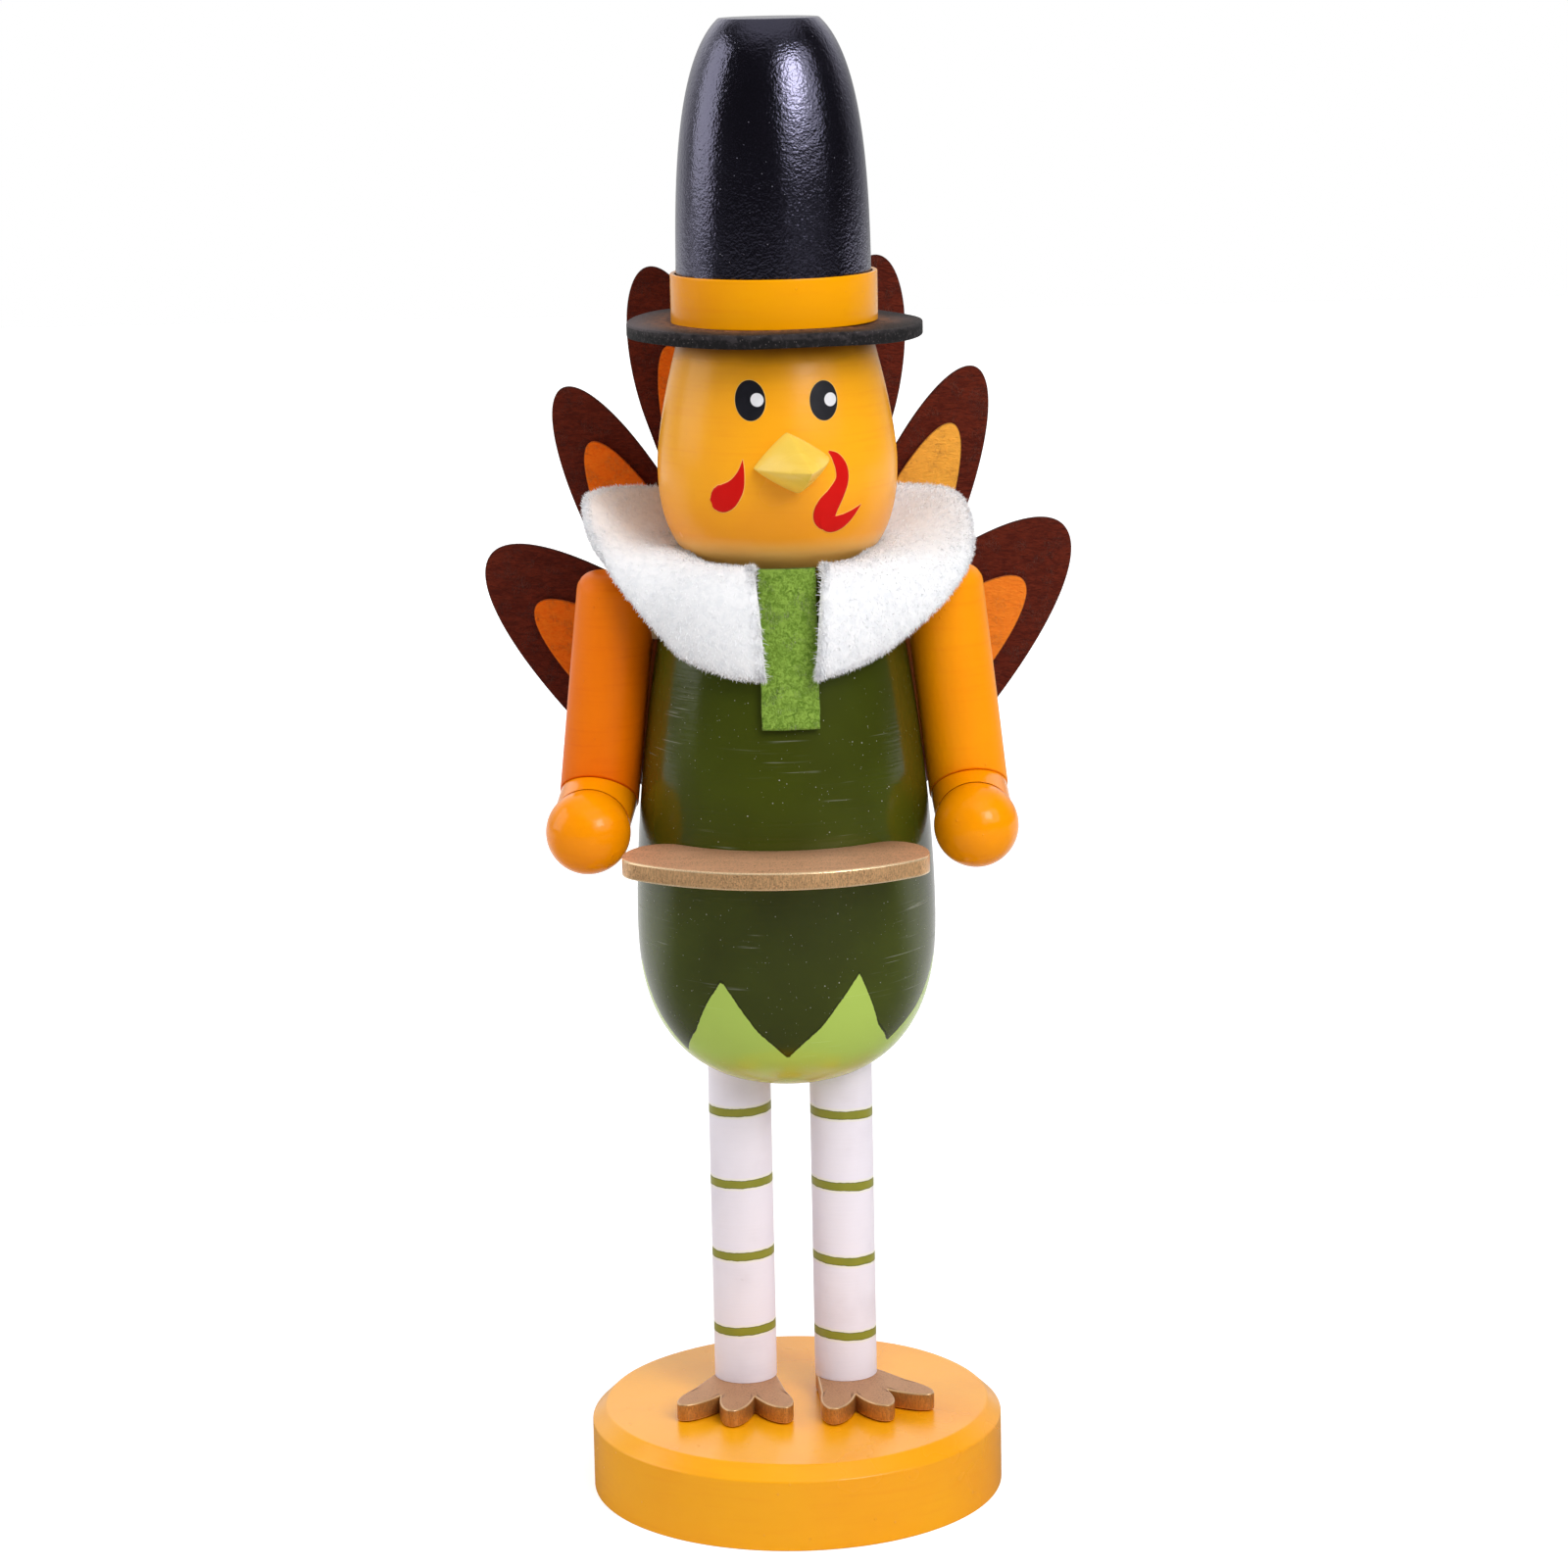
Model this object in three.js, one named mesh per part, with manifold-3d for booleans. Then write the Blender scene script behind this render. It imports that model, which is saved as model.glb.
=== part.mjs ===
// Turkey figure in a tall hat, standing on a round base and offering a serving board.
// Turned and painted wood, with a felt tail and tie and a plush collar.
// Millimetres, +Z up. The figure faces -Y, and its own left is +X.
// The origin is the middle of the base's underside.

import * as THREE from 'three';
import { mergeVertices } from 'three/addons/utils/BufferGeometryUtils.js';
import Module from 'manifold-3d';

const wasm = await Module();
wasm.setup();

const { degToRad, lerp, smoothstep } = THREE.MathUtils;

// Fits
const GLUE_GAP = 0.3;
const DOWEL_END_ROOM = 1;

// Base, with the figure standing a little behind its middle
const BASE_D = 100;
const BASE_H = 20.5;
const BASE_CHAMFER = 3.4;
const FIGURE_SETBACK = 5;

// Legs, feet and the screws that come up through them
const LEG_D = 15.2;
const LEG_SPACING = 24.6;
const LEG_SHOW = 76;
const LEG_SOCKET = 15;
const FOOT_H = 4.3;
const HEEL_D = 15;
const TOE_W = 8.6;
const TOE_REACH = 26.5;
const TOE_TIP = 13;
const TOE_SPREAD = 25.5;
const FOOT_TURN = { left: 24.5, right: 6.5 };
const SCREW_D = 4;
const SCREW_HEAD_D = 8;
const SCREW_HEAD_H = 2.4;
const SCREW_L = 42;
const SCREW_SINK = 1;

// Body
const BODY_H = 126.2;
const BELLY_D = 71.7;
const BELLY_RISE = 40.5;
const BELLY_FOOT_D = 17.6;
const BODY_TOP_D = 52;
const SHOULDER_ROUND = 3.5;
const BELLY_POWER = 2.5;
const CHEST_POWER = 1.57;

// Serving board
const TRAY_RISE = 63.1;
const TRAY_T = 4.2;
const TRAY_ARC_R = 48.5;
const TRAY_REACH = 59.4;
const TRAY_HALF_L = 35.6;
const TRAY_TIP_R = 9.5;
const TRAY_TIP_BACK = 13.9;
const TRAY_TURN = -2.4;
const TRAY_PIN_D = 2;
const TRAY_PIN_IN = 10;
const TRAY_PIN_OUT = 11;
const TRAY_PIN_ANGLE = 22;

// Arms: a round upper arm, mitred to a short forearm with a ball for a hand
const SHOULDER_DROP = 14.7;
const ARM_ROOM = 0.626;
const ARM_LEAN = 6.3;
const ARM_D = 19;
const ARM_TOP = 12;
const ARM_TOP_ROUND = 4.5;
const ELBOW_DROP = 42.2;
const ELBOW_MITRE = 35;
const ELBOW_SPLAY = { left: 1.5, right: 6 };
const FOREARM_D = 18.4;
const HAND_D = 20.1;
const HAND_REACH = 16.5;
const SHOULDER_DOWEL_D = 6;
const SHOULDER_DOWEL_IN = 22;
const SHOULDER_DOWEL_OUT = 4;
const FOREARM_DOWEL_D = 5;
const FOREARM_DOWEL_UP = 4.5;
const FOREARM_DOWEL_DOWN = 3;

// Head and beak
const HEAD_H = 53.3;
const HEAD_D = 56.6;
const HEAD_RISE = 23;
const HEAD_FOOT_D = 34.2;
const HEAD_TOP_D = 45.2;
const CHIN_POWER = 3;
const BROW_POWER = 1.5;
const HEAD_TURN = 6.5;
const BEAK_RISE = 26;
const BEAK_W = 17.4;
const BEAK_H = 14;
const BEAK_L = 12.5;
const BEAK_DROOP = 1.1;
const BEAK_ASIDE = 3.2;
const BEAK_ROLL = 7.5;
const BEAK_CORNER_POWER = 1.14;
const BEAK_TIP_POWER = 1.6;
const BEAK_ROOT = 6;
const BEAK_DOWEL_D = 4;
const BEAK_DOWEL_OUT = 5;
const BEAK_DOWEL_IN = 9;
const NECK_DOWEL_D = 12;
const NECK_DOWEL_HALF = 16;

// Hat
const BRIM_D = 69.5;
const BRIM_T = 3.7;
const BRIM_ROUND = 0.6;
const BAND_D = 48.6;
const BAND_H = 9.5;
const BAND_ROUND = 0.9;
const CROWN_D = 45.8;
const CROWN_H = 68.4;
const CROWN_TOP_D = 23.6;
const CROWN_POWER = 3;
const HAT_DOWEL_D = 10;
const HAT_DOWEL_IN = 12;
const HAT_DOWEL_UP = 14;

// Plush collar, open in front, high behind the head and low on the chest
const COLLAR_T = 4;
const COLLAR_NECK_SPARE = 4.5;
const COLLAR_TIP_GAP = 12;
const COLLAR_GAP_SHIFT = 2.1;
const COLLAR_NECK_D = 49;
const COLLAR_NECK_FRONT_D = 55.2;
const COLLAR_NECK_FRONT_DROP = 2.4;
const COLLAR_NECK_BACK_D = 58;
const COLLAR_SIDE_D = 88;
const COLLAR_BACK_R = 31.2;
const COLLAR_TIP_ROOM = 0.7;
const COLLAR_FRONT_DROP = 21.2;
const COLLAR_TIP_DROP = 4;
const COLLAR_BACK_RISE = 12.8;
const COLLAR_EDGE_POWER = 0.6;

// Felt tie
const TIE_W = 13.5;
const TIE_T = 1.6;
const TIE_BELOW = 35.1;
const TIE_ABOVE = 1.6;
const TIE_TURN = 3.4;

// Felt tail: feathers that fan out from a root glued to a flat on the back
const TAIL_FLAT_DEPTH = 1.25;
const TAIL_ROOT_RISE = 59.3;
const TAIL_ROOT_D = 44;
const TAIL_SHIFT = 1.6;
const TAIL_TILT = 1.8;
const TAIL_T = 2;
const TAIL_FRONT_T = 1.5;
const BACK_FEATHERS = [
  { angle: 11.8, reach: 137, width: 20.6, tip: 28.7 },
  { angle: 25.5, reach: 117.2, width: 23.6, tip: 43.9 },
  { angle: 46.8, reach: 96.4, width: 41.4, tip: 76.4 },
];
const FRONT_FEATHERS = [
  { angle: 11.8, reach: 117.5, width: 14, tip: 32 },
  { angle: 25.6, reach: 102.5, width: 19.8, tip: 52 },
  { angle: 48.3, reach: 80, width: 26, tip: 62 },
];

// Facets
const TURNED_SIDES = 36;
const ROD_SIDES = 24;
const PIN_SIDES = 10;
const BEAK_SIDES = 20;
const COLLAR_SIDES = 14;

// Heights of the stack, from the floor up
const footZ = BASE_H + GLUE_GAP;
const legZ = footZ + FOOT_H + GLUE_GAP;
const bodyZ = legZ + LEG_SHOW;
const bellyZ = bodyZ + BELLY_RISE;
const bodyTopZ = bodyZ + BODY_H;
const headZ = bodyTopZ + GLUE_GAP;
const headTopZ = headZ + HEAD_H;
const brimZ = headTopZ + GLUE_GAP;
const crownZ = brimZ + BRIM_T + GLUE_GAP;
const SIDES = [['left', 1], ['right', -1]];

// Solids

// Position-only triangles with shared corners merged and collapsed ones left out.
function welded(geometry) {
  const bare = new THREE.BufferGeometry();
  bare.setAttribute('position', geometry.getAttribute('position').clone());
  bare.setIndex(geometry.index ? geometry.index.clone() : null);
  const merged = mergeVertices(bare);
  const corners = merged.index.array;
  const kept = [];
  for (let i = 0; i < corners.length; i += 3) {
    const [a, b, c] = corners.slice(i, i + 3);
    if (a !== b && b !== c && c !== a) kept.push(a, b, c);
  }
  merged.setIndex(kept);
  return merged;
}

function toSolid(geometry) {
  const mesh = welded(geometry);
  const vertProperties = new Float32Array(mesh.getAttribute('position').array);
  const triVerts = new Uint32Array(mesh.index.array);
  return new wasm.Manifold(new wasm.Mesh({ numProp: 3, vertProperties, triVerts }));
}

function toGeometry(solid) {
  const { vertProperties, triVerts } = solid.getMesh();
  const geometry = new THREE.BufferGeometry();
  geometry.setAttribute('position', new THREE.BufferAttribute(vertProperties, 3));
  geometry.setIndex(new THREE.BufferAttribute(triVerts, 1));
  geometry.computeVertexNormals();
  return geometry;
}

function cut(shape, ...tools) {
  const carve = (left, tool) => left.subtract(tool);
  return toGeometry(tools.map(toSolid).reduce(carve, toSolid(shape)));
}

// A profile of [radius, height] points, from the axis to the axis, turned about Z.
function turned(profile, sides = TURNED_SIDES) {
  const points = profile.map(([r, z]) => new THREE.Vector2(r, z));
  return welded(new THREE.LatheGeometry(points, sides).rotateX(Math.PI / 2));
}

function rod(diameter, low, high, sides = ROD_SIDES) {
  const r = diameter / 2;
  return turned([[0, low], [r, low], [r, high], [0, high]], sides);
}

// The drilled hole for a peg: a little wider, and deeper at both ends.
function drilled(diameter, low, high, sides) {
  return rod(diameter + 2 * GLUE_GAP, low - DOWEL_END_ROOM, high + DOWEL_END_ROOM, sides);
}

function extruded(shape, depth, curveSegments = 12) {
  return new THREE.ExtrudeGeometry(shape, { depth, curveSegments, bevelEnabled: false });
}

// Rings of equal length joined in order, each end closed by a zigzag from its first point on.
// Seen from the last ring, the points of a ring run anticlockwise.
function lofted(rings) {
  const count = rings[0].length;
  const faces = [];
  for (let i = 0; i + 1 < rings.length; i += 1) {
    for (let j = 0; j < count; j += 1) {
      const a = i * count + j;
      const b = i * count + (j + 1) % count;
      faces.push(a, b, b + count, a, b + count, a + count);
    }
  }
  const zigzag = Array.from({ length: count }, (_, i) => (i % 2 ? (i + 1) / 2 : (count - i / 2) % count));
  const lastRing = (rings.length - 1) * count;
  for (let i = 0; i + 2 < count; i += 1) {
    const corner = zigzag.slice(i, i + 3);
    if (i % 2) corner.reverse();
    faces.push(...corner.map((k) => lastRing + k), ...corner.reverse());
  }
  const geometry = new THREE.BufferGeometry().setFromPoints(rings.flat());
  geometry.setIndex(faces);
  geometry.computeVertexNormals();
  return geometry;
}

// How far a petal's edge lies from its root along a ray that leaves its axis by an angle.
// The petal ends in half an ellipse. Its sides run straight back from there to a root of some width,
// or to the root's middle if it has none, so that a ray beyond them finds no petal.
function petalEdge({ width, reach, tip, rootWidth }, off) {
  const w = width / 2;
  const sine = Math.abs(Math.sin(off));
  const cosine = Math.cos(off);
  const shoulder = reach - tip;
  if (rootWidth && sine * shoulder >= w * cosine) {
    const flare = (rootWidth / 2 - w) / shoulder;
    return rootWidth / 2 / (sine + flare * cosine);
  }
  const a = (sine / w) ** 2 + (cosine / tip) ** 2;
  const b = cosine * shoulder / tip ** 2;
  const inside = b ** 2 - a * ((shoulder / tip) ** 2 - 1);
  return inside < 0 ? 0 : (b + Math.sqrt(inside)) / a;
}

// The last heading from one to another at which a condition holds, found by halving.
function lastHeading(from, to, holds) {
  let low = from;
  let high = to;
  for (let k = 0; k < 40; k += 1) {
    const middle = (low + high) / 2;
    if (holds(middle)) low = middle;
    else high = middle;
  }
  return low;
}

// Outline of petals that fan out about +Y from a round root, in order of heading in radians.
// A petal reaches to both sides until a neighbour or the root is further out.
// Its points crowd towards its tip.
function fanOutline(petals, rootR, stepsPerSide) {
  const points = [];
  const addPoint = (r, heading) => {
    points.push(new THREE.Vector2(-r * Math.sin(heading), r * Math.cos(heading)));
  };
  const addRoot = (from, to, steps) => {
    for (let i = 0; i < steps; i += 1) addPoint(rootR, lerp(from, to, i / steps));
  };
  const edgeAt = (petal, heading) => petalEdge(petal, heading - petal.heading);
  const side = (petal, neighbour, s) => {
    const limit = neighbour ? neighbour.heading : petal.heading + s * Math.PI / 2;
    return lastHeading(petal.heading, limit, (heading) => {
      const rival = neighbour ? edgeAt(neighbour, heading) : 0;
      return edgeAt(petal, heading) > Math.max(rival, rootR);
    });
  };
  const spans = petals.map((petal, k) => [side(petal, petals[k - 1], -1), side(petal, petals[k + 1], 1)]);
  petals.forEach((petal, k) => {
    const [before, after] = spans[k];
    for (let i = -stepsPerSide; i <= stepsPerSide; i += 1) {
      const share = Math.abs(i / stepsPerSide) ** 1.5;
      const off = share * ((i < 0 ? before : after) - petal.heading);
      addPoint(petalEdge(petal, off), petal.heading + off);
    }
    const next = k + 1 < petals.length ? spans[k + 1][0] : spans[0][0] + 2 * Math.PI;
    if (next - after > 1e-6) addRoot(after, next, next - after > 1 ? 2 * stepsPerSide : 2);
  });
  return new THREE.Shape(points);
}

// Rounded fall from radius r to endR as u goes from 0 to 1: a superellipse quarter cut short.
function roundedFall(r, endR, power, u) {
  const cutShort = 1 - (endR / r) ** power;
  return r * (1 - cutShort * u ** power) ** (1 / power);
}

// Straightening taper from radius r to endR as u goes from 0 to 1.
function taper(r, endR, power, u) {
  return r - (r - endR) * u ** power;
}

// Shares from 0 to 1 that crowd towards 1, where rounded ends bend most.
function crowded(steps) {
  return Array.from({ length: steps + 1 }, (_, k) => Math.sin((k / steps) * Math.PI / 2));
}

function even(steps) {
  return Array.from({ length: steps + 1 }, (_, k) => k / steps);
}

// A quarter round from the side at [r, z - round] to the top at [r - round, z].
function topRound(r, z, round, steps = 3) {
  return even(steps).map((t) => {
    const a = t * Math.PI / 2;
    return [r - round + round * Math.cos(a), z - round + round * Math.sin(a)];
  });
}

// Materials

function finish(color, roughness, metalness = 0) {
  return new THREE.MeshStandardMaterial({ color, roughness, metalness });
}

const orangePaint = finish(0xf59a12, 0.35);
const whitePaint = finish(0xe9e3ea, 0.5);
const greenPaint = finish(0x3c4a12, 0.25);
const blackPaint = finish(0x14131a, 0.2);
const mattBlack = finish(0x2a2829, 0.95);
const bronzePaint = finish(0x9a6f4b, 0.4, 0.6);
const beakPaint = finish(0xf0d765, 0.35);
const whitePlush = finish(0xf4f3f1, 1);
const greenFelt = finish(0x5f9132, 1);
const brownFelt = finish(0x4a1c12, 1);
const orangeFelt = finish(0xf5801a, 1);
const plainWood = finish(0xd8b98a, 0.7);
const steel = finish(0xb8b8bc, 0.35, 0.9);

function place(parent, name, geometry, material) {
  const mesh = new THREE.Mesh(geometry, material);
  mesh.name = name;
  parent.add(mesh);
  return mesh;
}

const turkey = new THREE.Group();
const figure = new THREE.Group();
figure.position.y = FIGURE_SETBACK;
turkey.add(figure);

// Base, feet, legs and screws

const screwProfile = (spare) => [
  [0, SCREW_SINK - spare],
  [SCREW_HEAD_D / 2 + spare, SCREW_SINK - spare],
  [SCREW_HEAD_D / 2 + spare, SCREW_SINK],
  [SCREW_D / 2 + spare, SCREW_SINK + SCREW_HEAD_H],
  [SCREW_D / 2 + spare, SCREW_SINK + SCREW_L - SCREW_D],
  [0, SCREW_SINK + SCREW_L + spare],
];
const screw = turned(screwProfile(0).filter((_, k) => k !== 2), PIN_SIDES);
const screwHole = turned(screwProfile(GLUE_GAP), PIN_SIDES);
const screwMouth = rod(SCREW_HEAD_D + 2 * GLUE_GAP, -GLUE_GAP, SCREW_SINK, PIN_SIDES);

const baseProfile = [
  [0, 0],
  [BASE_D / 2, 0],
  [BASE_D / 2, BASE_H - BASE_CHAMFER],
  [BASE_D / 2 - BASE_CHAMFER, BASE_H],
  [0, BASE_H],
];
const underLegs = SIDES.flatMap(([, s]) => {
  const tools = [screwHole, screwMouth];
  return tools.map((tool) => tool.clone().translate(s * LEG_SPACING / 2, FIGURE_SETBACK, 0));
});
place(turkey, 'base', cut(turned(baseProfile, 48), ...underLegs), orangePaint);

const toes = [-1, 0, 1].map((k) => {
  const form = { width: TOE_W, reach: TOE_REACH, tip: TOE_TIP, rootWidth: 0.98 * HEEL_D };
  return { heading: k * degToRad(TOE_SPREAD), ...form };
});
const sole = extruded(fanOutline(toes, HEEL_D / 2, 7), FOOT_H).rotateZ(Math.PI);
const foot = cut(sole.translate(0, 0, footZ), screwHole);
const legTopZ = bodyZ + LEG_SOCKET;
const leg = cut(rod(LEG_D, legZ, legTopZ), screwHole);
const legSocket = rod(LEG_D + 2 * GLUE_GAP, bodyZ - DOWEL_END_ROOM, legTopZ + GLUE_GAP);

const legSockets = SIDES.map(([side, s]) => {
  const stance = new THREE.Group();
  stance.position.x = s * LEG_SPACING / 2;
  figure.add(stance);
  const turn = s * degToRad(FOOT_TURN[side]);
  place(stance, `foot_${side}`, foot, bronzePaint).rotation.z = turn;
  place(stance, `leg_${side}`, leg, whitePaint);
  place(stance, `leg_screw_${side}`, screw, steel);
  return legSocket.clone().translate(stance.position.x, 0, 0);
});

// Body: an egg on its blunt end, with a flat behind for the tail

const bellyR = BELLY_D / 2;

// Radius of the body's side at height z, without the rounding of its top edge.
function bodyR(z) {
  if (z < bellyZ) return roundedFall(bellyR, BELLY_FOOT_D / 2, BELLY_POWER, (bellyZ - z) / BELLY_RISE);
  return taper(bellyR, BODY_TOP_D / 2, CHEST_POWER, (z - bellyZ) / (bodyTopZ - bellyZ));
}

const roundStartZ = bodyTopZ - SHOULDER_ROUND;
const bellyHeights = crowded(9).reverse().map((u) => bellyZ - u * BELLY_RISE);
const chestHeights = even(6).slice(1).map((u) => lerp(bellyZ, roundStartZ, u));
const bodyProfile = [
  [0, bodyZ],
  ...[...bellyHeights, ...chestHeights].map((z) => [bodyR(z), z]),
  ...topRound(bodyR(roundStartZ), bodyTopZ, SHOULDER_ROUND).slice(1),
  [0, bodyTopZ],
];
const tailFlatR = bellyR - TAIL_FLAT_DEPTH;
const tailFlat = new THREE.BoxGeometry(BELLY_D, BELLY_D, BODY_H);
tailFlat.translate(0, tailFlatR + BELLY_D / 2, bodyZ + BODY_H / 2);

// Serving board: a long arc in front, rounded lobes at its ends, and a hollow that hugs the body

const trayTopZ = bodyZ + TRAY_RISE;
const trayZ = trayTopZ - TRAY_T;
const trayHollowR = bodyR(trayZ) + GLUE_GAP;

function trayOutline() {
  const arcY = TRAY_ARC_R - TRAY_REACH;
  const tipX = TRAY_HALF_L - TRAY_TIP_R;
  const tipDrop = Math.sqrt((TRAY_ARC_R - TRAY_TIP_R) ** 2 - tipX ** 2);
  const tipY = arcY - tipDrop;
  const arcEnd = Math.atan2(-tipDrop, tipX);
  const shape = new THREE.Shape();
  shape.absarc(0, arcY, TRAY_ARC_R, -Math.PI - arcEnd, arcEnd, false);
  shape.absarc(tipX, tipY, TRAY_TIP_R, arcEnd, 0, false);
  shape.absellipse(tipX, tipY, TRAY_TIP_R, TRAY_TIP_BACK, 0, Math.PI / 2, false);
  shape.lineTo(0, 0);
  shape.absellipse(-tipX, tipY, TRAY_TIP_R, TRAY_TIP_BACK, Math.PI / 2, Math.PI, false);
  shape.absarc(-tipX, tipY, TRAY_TIP_R, Math.PI, Math.PI - arcEnd, false);
  return shape;
}

const trayHollow = rod(2 * trayHollowR, trayZ - 1, trayTopZ + 1, 2 * TURNED_SIDES);
const pinZ = trayZ + TRAY_T / 2;
const pinInR = trayHollowR - TRAY_PIN_IN;
const pinOutR = trayHollowR + TRAY_PIN_OUT;
const trayTurn = degToRad(TRAY_TURN);
const pinHeading = (s) => trayTurn + s * degToRad(TRAY_PIN_ANGLE);
const asTrayPin = (shape, s) => shape.rotateX(Math.PI / 2).rotateZ(pinHeading(s)).translate(0, 0, pinZ);
const trayPinHoles = SIDES.map(([, s]) => asTrayPin(drilled(TRAY_PIN_D, pinInR, pinOutR, PIN_SIDES), s));

const trayBoard = extruded(trayOutline(), TRAY_T).rotateZ(trayTurn).translate(0, 0, trayZ);
place(figure, 'tray', cut(trayBoard, trayHollow, ...trayPinHoles), bronzePaint);
for (const [side, s] of SIDES) {
  place(figure, `tray_pin_${side}`, asTrayPin(rod(TRAY_PIN_D, pinInR, pinOutR, PIN_SIDES), s), steel);
}

// Arms: each swings on a dowel through its shoulder, square to the leaning upper arm.
// The elbow just clears the body, and that sets how far out the shoulder is.

const armR = ARM_D / 2;
const lean = degToRad(ARM_LEAN);
const shoulderZ = bodyTopZ - SHOULDER_DROP;
const elbowX = bodyR(shoulderZ - ELBOW_DROP * Math.cos(lean)) + ARM_ROOM + armR / Math.cos(lean);
const shoulderX = elbowX - ELBOW_DROP * Math.sin(lean);
const handR = HAND_D / 2;
const mitre = degToRad(ELBOW_MITRE);
const armProfile = [
  [0, -ELBOW_DROP - ARM_D],
  [armR, -ELBOW_DROP - ARM_D],
  ...topRound(armR, ARM_TOP, ARM_TOP_ROUND),
  [0, ARM_TOP],
];
const forearmPeg = [-HAND_REACH - FOREARM_DOWEL_DOWN, FOREARM_DOWEL_UP];
const forearmHole = drilled(FOREARM_DOWEL_D, ...forearmPeg);
const aboveMitre = new THREE.BoxGeometry(3 * ARM_D, 3 * ARM_D, 3 * ARM_D);
aboveMitre.translate(0, 0, 1.5 * ARM_D - GLUE_GAP / 2).rotateX(mitre);
const ball = (r) => {
  const sphere = new THREE.SphereGeometry(r, ROD_SIDES, ROD_SIDES / 2);
  return sphere.rotateX(Math.PI / 2).translate(0, 0, -HAND_REACH);
};
const forearmBlank = rod(FOREARM_D, -HAND_REACH, ARM_D);
const forearm = cut(forearmBlank, aboveMitre, ball(handR + GLUE_GAP), forearmHole);
const hand = cut(ball(handR), forearmHole);

const shoulderSockets = SIDES.map(([side, s]) => {
  const splay = s * degToRad(ELBOW_SPLAY[side]);
  const shoulder = new THREE.Group();
  shoulder.position.set(s * shoulderX, 0, shoulderZ);
  shoulder.rotation.y = -s * lean;
  const elbow = new THREE.Group();
  elbow.position.z = -ELBOW_DROP;
  elbow.rotation.set(-2 * mitre, 0, splay, 'ZXY');
  shoulder.add(elbow);
  figure.add(shoulder);
  shoulder.updateMatrix();
  elbow.updateMatrix();

  const outward = (shape) => shape.rotateY(s * Math.PI / 2);
  const pegSpan = [-SHOULDER_DOWEL_IN, SHOULDER_DOWEL_OUT];
  const pegHole = outward(drilled(SHOULDER_DOWEL_D, ...pegSpan));
  const belowMitre = new THREE.BoxGeometry(3 * ARM_D, 3 * ARM_D, 3 * ARM_D);
  belowMitre.translate(0, 0, GLUE_GAP / 2 - 1.5 * ARM_D).rotateX(-mitre);
  belowMitre.rotateZ(splay).translate(0, 0, -ELBOW_DROP);
  const elbowHole = forearmHole.clone().applyMatrix4(elbow.matrix);
  const arm = cut(turned(armProfile, 28), belowMitre, pegHole, elbowHole);

  place(shoulder, `arm_${side}`, arm, orangePaint);
  place(shoulder, `shoulder_dowel_${side}`, outward(rod(SHOULDER_DOWEL_D, ...pegSpan)), plainWood);
  place(elbow, `forearm_${side}`, forearm, orangePaint);
  place(elbow, `forearm_dowel_${side}`, rod(FOREARM_DOWEL_D, ...forearmPeg), plainWood);
  place(elbow, `hand_${side}`, hand, orangePaint);
  return pegHole.clone().applyMatrix4(shoulder.matrix);
});

// Head, set turned a little to its left on the neck dowel

const headR = HEAD_D / 2;
const headWidestZ = headZ + HEAD_RISE;
const chin = crowded(8).reverse().map((u) => {
  return [roundedFall(headR, HEAD_FOOT_D / 2, CHIN_POWER, u), headWidestZ - u * HEAD_RISE];
});
const brow = even(6).slice(1).map((u) => {
  return [taper(headR, HEAD_TOP_D / 2, BROW_POWER, u), lerp(headWidestZ, headTopZ, u)];
});
const headProfile = [[0, headZ], ...chin, ...brow, [0, headTopZ]];
const headBlank = turned(headProfile);
const neckPeg = [bodyTopZ - NECK_DOWEL_HALF, headZ + NECK_DOWEL_HALF];
const neckHole = drilled(NECK_DOWEL_D, ...neckPeg);
const hatPeg = [headTopZ - HAT_DOWEL_IN, crownZ + HAT_DOWEL_UP];
const hatHole = drilled(HAT_DOWEL_D, ...hatPeg);

// Beak: a pyramid on a rounded diamond, a little rolled, hollowed behind to sit on the face.
// Its point droops and leans to the figure's left.
// Its rings run forwards from inside the head to the point.
const beakZ = headZ + BEAK_RISE;
const beakPegSpan = [headR - BEAK_DOWEL_IN, headR + BEAK_DOWEL_OUT];
const asBeakPeg = (shape) => shape.rotateX(Math.PI / 2).translate(0, 0, beakZ);

function beakRing(u) {
  const swell = u < 0 ? 1 : 1 - u ** BEAK_TIP_POWER;
  const y = -headR - u * (u < 0 ? BEAK_ROOT : BEAK_L);
  return Array.from({ length: BEAK_SIDES }, (_, k) => {
    const a = (k / BEAK_SIDES) * 2 * Math.PI;
    const c = Math.abs(Math.cos(a));
    const d = Math.abs(Math.sin(a));
    const r = swell / (c ** BEAK_CORNER_POWER + d ** BEAK_CORNER_POWER) ** (1 / BEAK_CORNER_POWER);
    const corner = new THREE.Vector2(r * Math.cos(a) * BEAK_W / 2, r * Math.sin(a) * BEAK_H / 2);
    corner.rotateAround(new THREE.Vector2(), degToRad(BEAK_ROLL));
    const out = Math.max(u, 0);
    return new THREE.Vector3(corner.x + out * BEAK_ASIDE, y, beakZ + corner.y - out * BEAK_DROOP);
  });
}

const beakBlank = lofted([-1, 0, ...even(7).slice(1).map((t) => t * 0.97)].map(beakRing));
const beakSeat = turned(headProfile.map(([r, z]) => [r && r + GLUE_GAP, z]));
const beakHole = asBeakPeg(drilled(BEAK_DOWEL_D, ...beakPegSpan, PIN_SIDES));

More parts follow.
